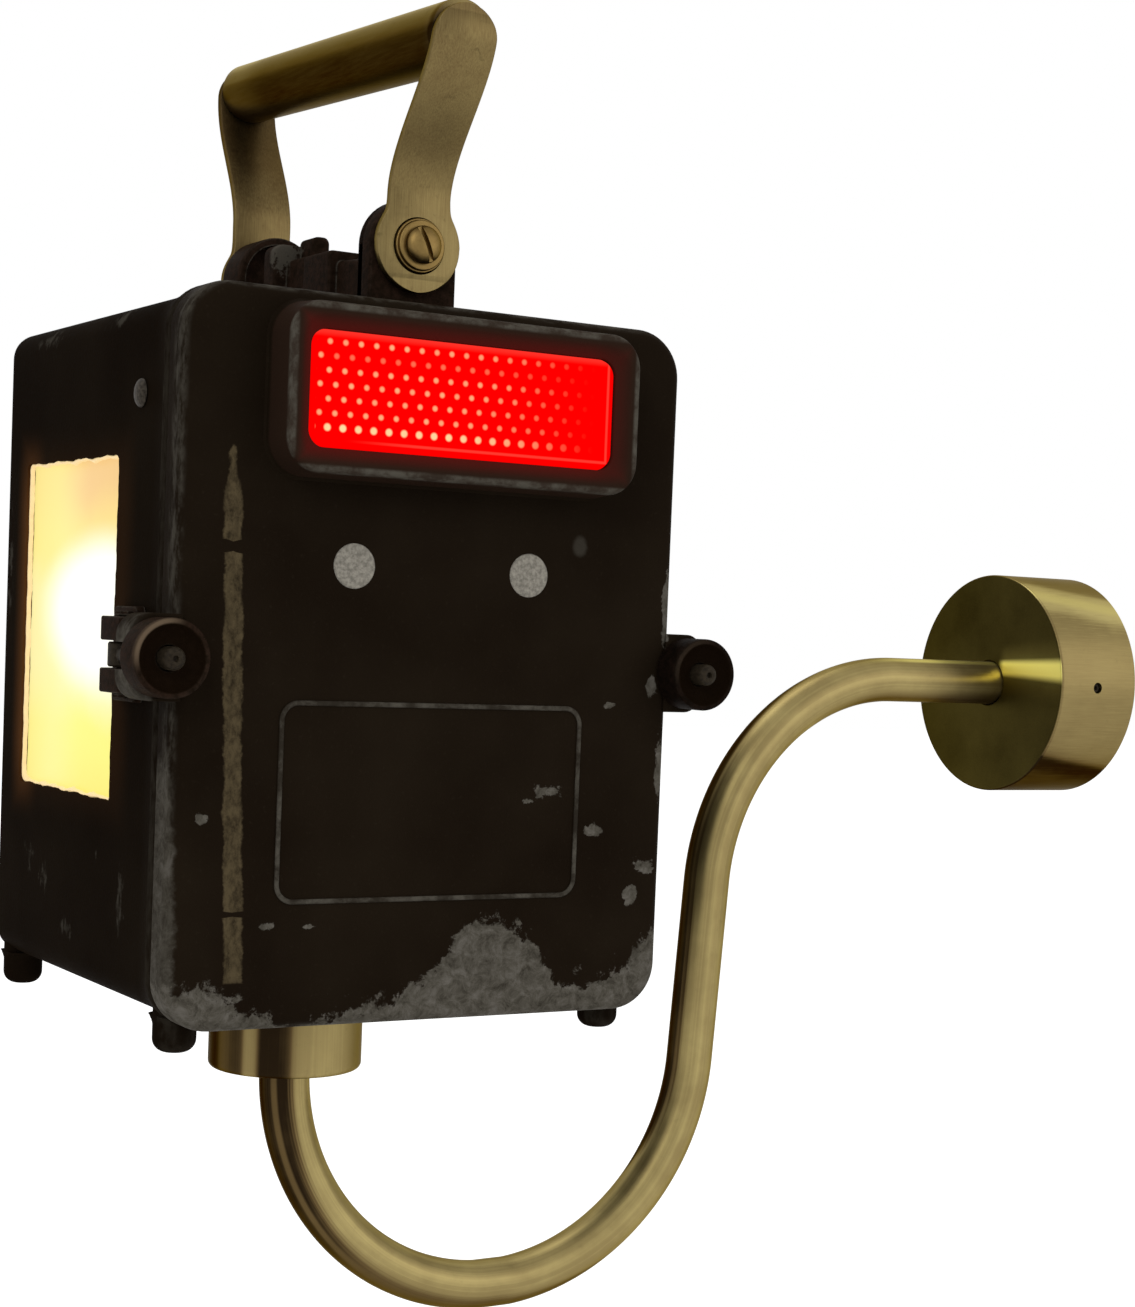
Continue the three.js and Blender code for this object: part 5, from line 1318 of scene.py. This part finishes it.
class LANTERN_OT_bracket(bpy.types.Operator):
    """Handle bracket casting on top of the case"""

    bl_idname = "lantern.bracket"
    bl_label = "Handle bracket"

    def execute(self, context):
        (_, front, _), (_, rear, _) = box_mm("handle_bracket")
        seat = 78.3
        half, top = 11, context.scene.lantern_handle.pivot / MM + 11
        boss = carved(
            self.slab(self.stone(half, seat, top), rear - 11, rear),
            self.slab(self.stone(half - 1.9, 86.0, top - 1.9), rear - 13, rear - 6.5),
        )
        bodies = [
            self.slab(self.stone(half, 81.5, top), front, front + 7),
            self.slab(self.stone(half, seat, top), 22.6, front + 7),
            boss,
            self.slab(self.plate(half, seat, seat + 3), 22.6, rear),
            self.sloped(self.slab(self.plate(6, seat + 1, 95.2, 1.5), front + 3, 60)),
            self.slab(self.plate(8, seat + 1, 96.7, 1.0), 47.5, 62.5),
            self.slab(self.plate(6, seat + 1, 97.5, 1.0), 60, 79),
            self.slab(self.plate(2.3, seat + 1, 103.2, 1.6), 69.5, 78, 1.0),
            self.slab(self.plate(9.4, seat + 1, 101.4, 2.5), 76.5, 83.2),
            self.slab(self.plate(7.5, seat + 1, 86), 81, rear - 10),
        ]
        add_piece("bracket", joined_mesh("bracket", bodies), "casting",
                  instead_of="handle_bracket")
        return {"FINISHED"}

    @staticmethod
    def stone(half, bottom, top):
        """An outline with upright sides and a half-round top."""
        return np.array(
            [(half, bottom)] + arc_points((0, top - half), half, 0, 180, 24) + [(-half, bottom)]
        )

    @staticmethod
    def plate(half, bottom, top, round_=1.0):
        corner = arc_points((half - round_, top - round_), round_, 0, 90, 5)
        return np.array([(half, bottom)] + corner + [(-x, z) for x, z in corner[::-1]]
                        + [(-half, bottom)])

    @staticmethod
    def slab(outline, front, rear, round_=0.8):
        """An outline drawn from front to rear, with a quarter round at each face."""
        centre = outline.mean(axis=0)
        angle = np.linspace(0, math.pi / 2, 5)
        depth, draw = round_ * (1 - np.sin(angle)), round_ * (1 - np.cos(angle))
        span = np.abs(outline - centre).max(axis=0)
        rings = []
        for y, inset in [*zip(front + depth[::-1], draw[::-1]), *zip(rear - depth, draw)]:
            ring = centre + (outline - centre) * (1 - inset / span)
            rings.append(from_middle(ring[:, 0], y, ring[:, 1]))
        return grid_mesh("slab", rings)

    @staticmethod
    def sloped(mesh):
        """The web's upper side falls towards the front by a tenth of the way from its rear."""
        def fall(points):
            points[:, 2] -= 0.1 * np.clip(47 - points[:, 1], 0, None) * (points[:, 2] > 90)
            return points
        return reshaped(mesh, fall)


class LANTERN_OT_handle(bpy.types.Operator):
    """Handle arms and grip"""

    bl_idname = "lantern.handle"
    bl_label = "Handle"

    def execute(self, context):
        size = context.scene.lantern_handle
        front, rear = box_mm("pivot_bush_front")[1][1], box_mm("pivot_bush_rear")[0][1]
        arms = (
            (front, -1, *in_mm(size, "front_crank", "front_from", "front_to")),
            (rear, 1, *in_mm(size, "rear_crank", "rear_from", "rear_to")),
        )
        rise, longer, lift = in_mm(size, "rise", "rear_rise", "grip_lift")
        heights = (rise, rise + longer)
        for name, arm, height in zip(("front", "rear"), arms, heights):
            add_piece("arm_" + name, self.arm(size, arm, height - lift),
                      "arm_" + name, "handle", "handle_arm_" + name)
        add_piece("grip", self.grip(size, arms, heights), "grip", "handle",
                  "handle_grip", sharp=50)
        return {"FINISHED"}

    @staticmethod
    def strip_at(arm, z):
        """The middle of an arm's strip along Y at heights above the pivot, and how much its
        lean stretches its thickness: the step outwards is 3s^2 - 2s^3 of the share s of the
        cranked length, and the stretch is the root of 1 plus the slope squared."""
        seat, outward, crank, start, end = arm
        share = np.clip((z - start) / (end - start), 0, 1)
        slope = crank / (end - start) * 6 * share * (1 - share)
        return seat + outward * (1.0 + crank * share**2 * (3 - 2 * share)), np.hypot(1, slope)

    @classmethod
    def arm(cls, size, arm, reach):
        """A flat strip from below the pivot to above the grip. Its half width is the larger of
        the eye's circle and the strip, blended, and its edges are rounded."""
        eye, half, thick, pivot = in_mm(size, "eye", "strip", "thickness", "pivot")
        eye, half = eye / 2, half / 2
        z = np.unique(np.concatenate([
            eye * np.sin(np.linspace(-math.pi / 2, math.pi / 2, 41)),
            np.linspace(0, reach, 90), reach + half * np.sin(np.linspace(0, math.pi / 2, 22)),
        ]))
        circle = np.sqrt(np.clip(eye**2 - z**2, 0, None))
        strip = np.where(z > 0, half, 0) * np.sqrt(
            np.clip(1 - (np.clip(z - reach, 0, None) / half) ** 2, 0, None))
        blend = np.where((z > 0) & (z < eye + 3), 1.2, 0.0)
        width = np.where(z > 0, (circle + strip + np.sqrt((circle - strip) ** 2 + blend**2)) / 2
                         - 0.05 * blend, circle)
        width = np.clip(width, 0.02, None)
        middle, stretch = cls.strip_at(arm, z)
        deep = thick / 2 * stretch
        e = np.minimum(0.4, width * 0.5)
        corner = [(width, deep - e), (width - 0.3 * e, deep - 0.3 * e), (width - e, deep)]
        ring = corner + [(-x, y) for x, y in corner[::-1]]
        ring += [(-x, -y) for x, y in corner] + [(x, -y) for x, y in corner[::-1]]
        mesh = grid_mesh("arm", np.stack([
            from_middle(x, middle + y, pivot + z) for x, y in ring
        ], axis=1))
        bore = turned_mesh("bore", [(0, -3), (6.45, -3), (6.45, 3), (0, 3)],
                           from_middle(0, arm[0] + arm[1] * thick / 2, pivot), (0, 1, 0), 64)
        return carved(mesh, bore)

    @classmethod
    def grip(cls, size, arms, heights, gap=0.3):
        """A round bar between the arms, its rear end higher. At each end a point lies where
        the arm's inner face is at its height, less the gap; between, it runs straight."""
        radius, edge = size.grip / MM / 2, 0.5
        half = size.thickness / MM / 2
        around = np.linspace(0, 2 * math.pi, 64, endpoint=False)

        def end(arm, height, share, inset):
            x, z = radius * share * np.cos(around), height + radius * share * np.sin(around)
            middle, stretch = cls.strip_at(arm, z)
            y = middle - arm[1] * ((half + gap) * stretch + inset)
            return from_middle(x, y, z + size.pivot / MM)

        shares = ((0.01, 0), (0.35, 0), (0.7, 0), (1 - edge / radius, 0), (0.985, edge * 0.3),
                  (1.0, edge))
        front = [end(arms[0], heights[0], *s) for s in shares]
        rear = [end(arms[1], heights[1], *s) for s in shares]
        between = [front[-1] + (rear[-1] - front[-1]) * t for t in np.linspace(0, 1, 26)[1:-1]]
        return grid_mesh("grip", front + between + rear[::-1])


class LANTERN_OT_pivots(bpy.types.Operator):
    """Bushes and slotted screws of the handle's pivots"""

    bl_idname = "lantern.pivots"
    bl_label = "Handle pivots"

    def execute(self, context):
        for name, outward in (("front", -1), ("rear", 1)):
            bush = "pivot_bush_" + name
            start = centre_of(bush)
            start[1] = box_of(bush)[outward < 0][1]
            axis = (0, outward, 0)
            profile = (
                [(2.8, 0), (6.15, 0)] + arc_points((5.9, 2.55), 0.25, 0, 90, 3)
                + [(5.75, 2.8)] + arc_points((5.35, 3.35), 0.35, 0, 90, 4)
                + [(4.6, 3.7), (2.8, 3.7)]
            )
            add_piece("bush_" + name, turned_mesh("bush", profile, start, axis, 64, closed=True),
                      "bush", instead_of=bush)
            screw = turned_mesh("screw", (
                [(0, -6), (2.5, -6), (2.5, 3.95), (4.1, 3.95)]
                + [(4.3 * math.cos(a), 4.5 + 1.95 * math.sin(a))
                   for a in np.linspace(0, math.pi / 2, 10)[:-1]] + [(0, 6.45)]
            ), start, axis, 64)
            add_piece("screw_" + name, carved(screw, self.slot(start, outward)), "bush",
                      instead_of="pivot_screw_" + name)
        return {"FINISHED"}

    @staticmethod
    def slot(start, outward, lean=24.0):
        """A straight bar across the head, leaning from the top left to the bottom right."""
        outline = rounded_outline(1.1, 12.0, 0.1, 2)
        turn = math.radians(lean)
        spin = np.array([[math.cos(turn), -math.sin(turn)], [math.sin(turn), math.cos(turn)]])
        outline = outline @ spin.T
        rings = [
            from_middle(outline[:, 0], outward * depth, outline[:, 1]) - MIDDLE + start
            for depth in (5.1, 8.0)
        ]
        return grid_mesh("slot", rings)


class LANTERN_OT_clamps(bpy.types.Operator):
    """Clamps: forks, swing bolts and dished knobs"""

    bl_idname = "lantern.clamps"
    bl_label = "Clamps"

    def execute(self, context):
        for name, side in (("left", -1), ("right", 1)):
            seat = centre_of("clamp_knob_" + name)
            seat[1] = box_of("clamp_knob_" + name)[1][1]
            knob = turned_mesh("knob", (
                [(2.8, 0), (7.6, 0)] + arc_points((7.7, 0.7), 0.7, -90, 0, 4)
                + arc_points((7.8, 8.1), 0.6, 0, 90, 5) + arc_points((7.6, 8.1), 0.6, 90, 150, 3)
                + [(6.6, 7.6), (5.4, 6.75), (4.2, 6.3), (2.8, 6.25)]
            ), seat, (0, -1, 0), 64, closed=True)
            add_piece("knob_" + name, knob, "casting", name + "_knob",
                      "clamp_knob_" + name, sharp=50)
            add_piece("bolt_" + name, self.bolt(name), "bolt", name + "_bolt",
                      "swing_bolt_" + name)
            add_piece("fork_" + name, self.fork(side), "casting",
                      instead_of="clamp_fork_" + name)
        return {"FINISHED"}

    @staticmethod
    def bolt(name):
        low, high = box_of("swing_bolt_" + name)
        pivot = centre_of("swing_bolt_" + name)
        pivot[1] = high[1] - 3.3 * MM
        reach = (pivot[1] - low[1]) / MM - 1.6
        shank = turned_mesh("shank", (
            [(0, 2.2), (2.5, 2.2)] + arc_points((1.1, reach - 1.4), 1.4, 0, 90, 6)
            + [(0.7, reach - 0.05), (0.5, reach - 0.9), (0, reach - 1.0)]
        ), pivot, (0, -1, 0), 32)
        ring = [(1.8, -2.7), (3.0, -2.7), (3.3, -2.3), (3.3, 2.3), (3.0, 2.7), (1.8, 2.7)]
        eye = turned_mesh("eye", ring, pivot, (0, 0, 1), 40, closed=True)
        return joined_mesh("bolt", [shank, eye])

    @staticmethod
    def fork(side):
        """A foot plate and two ears, each an outline drawn straight with small rounds."""
        foot = rounded_outline(14.0, 21.0, 1.2, 4)
        rings = []
        for x, inset in ((60.3, 0.0), (61.9, 0.0), (62.25, 0.15), (62.4, 0.5)):
            ring = foot * (1 - inset / 9)
            rings.append(from_middle(side * x, ring[:, 0] + 29.6, ring[:, 1]))
        parts = [grid_mesh("foot_plate", rings)]
        for sign in (1, -1):
            plan = np.array(
                [(62.3, 28.5)] + arc_points((68.5, 23.0), 1.5, 62, 0, 5)
                + arc_points((68.5, 12.5), 1.5, 0, -90, 5) + [(62.3, 11.0)]
            )
            centre = np.array([66.0, 19.0])
            rings = []
            for z, inset in ((3.0, 0.35), (3.3, 0.0), (7.7, 0.0), (8.05, 0.15), (8.2, 0.5)):
                ring = centre + (plan - centre) * (1 - inset / 8)
                ring[:, 0] = np.maximum(ring[:, 0], 62.3)
                rings.append(from_middle(side * ring[:, 0], ring[:, 1], sign * z))
            parts.append(grid_mesh("ear", rings))
        return joined_mesh("fork", parts)


class LANTERN_OT_stem(bpy.types.Operator):
    """Ferrule and swan-neck tube"""

    bl_idname = "lantern.stem"
    bl_label = "Ferrule and tube"

    def execute(self, context):
        low, high = box_mm("ferrule")
        radius, tall = (high[0] - low[0]) / 2, high[2] - low[2]
        start = centre_of("ferrule")
        start[2] = box_of("ferrule")[0][2]
        profile = (
            [(6.65, 0.3), (6.9, 0.0), (radius - 1.6, 0)]
            + arc_points((radius - 1.6, 1.6), 1.6, -90, 0, 7)
            + arc_points((radius - 0.7, tall - 0.7), 0.7, 0, 90, 4)
            + [(5.3, tall), (5.3, tall - 13), (6.65, tall - 13)]
        )
        add_piece("ferrule_cup", turned_mesh("ferrule", profile, start, (0, 0, 1), 96, closed=True),
                  "ferrule", instead_of="ferrule")
        add_piece("tube", self.tube(context.scene.lantern_tube), "tube",
                  instead_of="swan_neck")
        return {"FINISHED"}

    @staticmethod
    def centre_line(size):
        """The tube's centre line in the plane of the stem: down, round the lower bend, up a
        slightly leaning straight, round the upper bend and level to the canopy."""
        bend, rise, run = in_mm(size, "bend", "rise", "run")
        turn = math.radians(176.2)
        mouth = box_mm("ferrule")[0][2]
        top, start = mouth + 11.6, mouth - 0.8
        step = 1.5
        line = [(0.0, z) for z in np.linspace(top, start, 12)[:-1]]
        lower = np.linspace(0, turn, int(bend * turn / step))
        line += [(bend - bend * math.cos(a), start - bend * math.sin(a)) for a in lower]
        x, z = line[-1]
        heading = turn - math.pi / 2
        straight = np.linspace(0, rise, int(rise / step))[1:]
        line += [(x + s * math.cos(heading), z + s * math.sin(heading)) for s in straight]
        x, z = line[-1]
        cx, cz = x + bend * math.sin(heading), z - bend * math.cos(heading)
        upper = np.linspace(heading, 0, int(bend * heading / step))[1:]
        line += [(cx - bend * math.sin(a), cz + bend * math.cos(a)) for a in upper]
        x, z = line[-1]
        line += [(x + s, z) for s in np.linspace(0, run + 11, 30)[1:]]
        line = np.array(line)
        lowest = (cad_bounds[0][2] - MIDDLE[2] + size.diameter / 2) / MM + 0.01
        return from_middle(line[:, 0], STEM[1] / MM, np.maximum(line[:, 1], lowest))

    @classmethod
    def tube(cls, size):
        path = cls.centre_line(size)
        radius, wall, sides = size.diameter / 2, 1.0 * MM, 48
        angle = np.linspace(0, 2 * math.pi, sides, endpoint=False)
        circle = np.stack([np.cos(angle), np.sin(angle)], axis=1)
        outside = swept_mesh("tube", path, circle * radius, (0, 1, 0))
        work = bmesh.new()
        work.from_mesh(outside)
        work.faces.ensure_lookup_table()
        bmesh.ops.delete(work, geom=[f for f in work.faces if len(f.verts) > 4],
                         context="FACES_ONLY")
        work.to_mesh(outside)
        work.free()
        distance = np.concatenate([[0], np.cumsum(np.linalg.norm(np.diff(path, axis=0), axis=1))])
        layer = outside.uv_layers.new(name="UVMap")
        loops = np.empty(len(outside.loops), np.int64)
        outside.loops.foreach_get("vertex_index", loops)
        u = (loops % sides) / sides
        first = np.repeat(loops.reshape(-1, 4)[:, :1] % sides == sides - 1, 4, axis=1).ravel()
        u = np.where(first & (loops % sides == 0), 1.0, u)
        v = distance[loops // sides] / distance[-1]
        layer.data.foreach_set("uv", np.stack([u, v], axis=1).ravel())
        piece = linked("tube_wall", outside)
        thick = piece.modifiers.new("Wall", "SOLIDIFY")
        thick.thickness = wall
        thick.offset = -1.0
        return applied(piece, "tube")


class LANTERN_OT_canopy(bpy.types.Operator):
    """Wall canopy with its grub screw hole"""

    bl_idname = "lantern.canopy"
    bl_label = "Canopy"

    def execute(self, context):
        low, high = box_of("canopy")
        radius, deep = (high[1] - low[1]) / MM / 2, (high[0] - low[0]) / MM
        start, at = centre_of("canopy"), centre_of("canopy")
        start[0], at[0] = low[0], centre_of("grub_screw_front")[0]
        profile = (
            [(6.65, 0.25), (6.9, 0.0), (radius - 0.7, 0)]
            + arc_points((radius - 0.7, 0.7), 0.7, -90, 0, 4)
            + [(radius, deep - 0.3), (radius - 0.3, deep), (radius - 2, deep), (radius - 2, 2),
               (6.65, 2)]
        )
        cup = turned_mesh("canopy", profile, start, (1, 0, 0), 160, closed=True)
        tools = [turned_mesh("hole", [(0, 24), (1.6, 24), (1.6, 34), (0, 34)], at, (0, side, 0), 32)
                 for side in (-1, 1)]
        add_piece("canopy_cup", carved(cup, *tools), "canopy", instead_of="canopy")
        return {"FINISHED"}


class LANTERN_OT_stage(bpy.types.Operator):
    """Camera, lamps, floor and the white surround"""

    bl_idname = "lantern.stage"
    bl_label = "Camera and light"

    def execute(self, context):
        stage = context.scene.lantern_stage
        self.camera(context, stage)
        self.surround(context, stage)
        self.floor(stage)
        self.softbox("key", (-0.95, -1.0, 0.75), (0.75, 0.75), 5.0)
        self.softbox("fill", (0.75, -0.95, 0.35), (0.9, 0.9), 3.0)
        self.softbox("rim", (-0.1, 0.35, 1.15), (0.8, 0.5), 3.0)
        context.scene.view_settings.view_transform = "Standard"
        return {"FINISHED"}

    @staticmethod
    def camera(context, stage):
        """The camera of the photograph: its place from the cover's middle, in millimetres, and
        its turn as a rotation vector applied to the view along +Y."""
        data = bpy.data.cameras.new("camera")
        data.sensor_width = 36.0
        data.lens = stage.focal
        data.shift_x = -0.031503
        data.shift_y = 0.073801
        data.clip_start, data.clip_end = 0.05, 50.0
        camera = linked("camera", data)
        turn = Vector((0.059190964, -0.55517590, 0.026437866))
        spin = np.array(Matrix.Rotation(turn.length, 3, turn.normalized()))
        seen = spin @ np.array([[1, 0, 0], [0, 0, -1], [0, 1, 0]])
        right, down, ahead = seen
        world = Matrix.Identity(4)
        for row in range(3):
            world[row][0], world[row][1], world[row][2] = right[row], -down[row], -ahead[row]
        world.translation = from_middle(-247.15671624, -470.98468020, 8.85111557)
        camera.matrix_world = world
        context.scene.camera = camera

    @staticmethod
    def surround(context, stage):
        world = bpy.data.worlds.new("surround")
        context.scene.world = world
        world.use_nodes = True
        f = Nodes(world.node_tree)
        strength = f.add("MapRange", {"Value": f.seen(), "To Min": stage.daylight, "To Max": 1.0})
        light = f.add("Background", {"Color": (1.0, 1.0, 1.0), "Strength": strength})
        f.add("OutputWorld", {"Surface": light})

    @staticmethod
    def floor(stage):
        """A wide flat floor below the lamp, white to the camera with the lamp's shadow."""
        z = cad_bounds[0][2] - stage.floor_drop
        side = np.linspace(-6, 6, 9)
        x, y = np.meshgrid(side, side, indexing="ij")
        points = np.stack([x, y, np.full_like(x, z)], axis=-1)
        mesh = grid_mesh("floor", points, around=False, ends=False)
        f = Finish("floor_white")
        f.set(Base_Color=(0.8, 0.8, 0.8), Roughness=0.9, Specular_IOR_Level=0.0)
        plain = Value(f, f.shader.outputs[0])
        glow = f.add("Emission", {"Color": (1.0, 1.0, 1.0), "Strength": 0.55})
        both = f.add("AddShader", {0: plain, 1: glow})
        f.put(f.add("MixShader", {0: f.seen(), 1: plain, 2: both}), f.output.inputs["Surface"])
        mesh.materials.append(f.material)
        floor = linked("floor", mesh)

    @staticmethod
    def softbox(name, place, size, power):
        """An area lamp that looks at the middle of the lamp."""
        data = bpy.data.lights.new(name, "AREA")
        data.shape = "RECTANGLE"
        data.size, data.size_y = size
        data.energy = power
        lamp = linked(name, data)
        low, high = cad_bounds
        lamp.location = (low + high) / 2 + Vector(place)
        lamp.rotation_mode = "QUATERNION"
        lamp.rotation_quaternion = Vector(place).to_track_quat("Z", "Y")


class LANTERN_PT_panel(bpy.types.Panel):
    """Lists the lamp's pieces and their sizes"""

    bl_idname = "LANTERN_PT_panel"
    bl_label = "Lantern Wall Lamp"
    bl_space_type = "VIEW_3D"
    bl_region_type = "UI"
    bl_category = "Lantern"

    def draw(self, context):
        for operator in OPERATORS:
            self.layout.operator(operator.bl_idname)
        for name in GROUPS:
            box = self.layout.box()
            group = getattr(context.scene, name)
            for size in group.bl_rna.properties.keys():
                if size not in ("rna_type", "name"):
                    box.prop(group, size)


GROUPS = {
    "lantern_colours": LanternColours,
    "lantern_case": LanternCaseSizes,
    "lantern_cover": LanternCoverSizes,
    "lantern_handle": LanternHandleSizes,
    "lantern_tube": LanternTubeSizes,
    "lantern_stage": LanternStage,
}
OPERATORS = (
    LANTERN_OT_finishes, LANTERN_OT_stage, LANTERN_OT_case, LANTERN_OT_cover, LANTERN_OT_lens,
    LANTERN_OT_window, LANTERN_OT_plugs, LANTERN_OT_bracket, LANTERN_OT_handle,
    LANTERN_OT_pivots, LANTERN_OT_clamps, LANTERN_OT_stem, LANTERN_OT_canopy,
)


def register():
    for group in GROUPS.values():
        bpy.utils.register_class(group)
    for name, group in GROUPS.items():
        setattr(bpy.types.Scene, name, bpy.props.PointerProperty(type=group))
    for operator in OPERATORS:
        bpy.utils.register_class(operator)
    bpy.utils.register_class(LANTERN_PT_panel)


def unregister():
    bpy.utils.unregister_class(LANTERN_PT_panel)
    for operator in reversed(OPERATORS):
        bpy.utils.unregister_class(operator)
    for name, group in reversed(GROUPS.items()):
        delattr(bpy.types.Scene, name)
        bpy.utils.unregister_class(group)


def main():
    register()
    for operator in OPERATORS:
        group, name = operator.bl_idname.split(".")
        getattr(getattr(bpy.ops, group), name)()


if __name__ == "__main__":
    main()
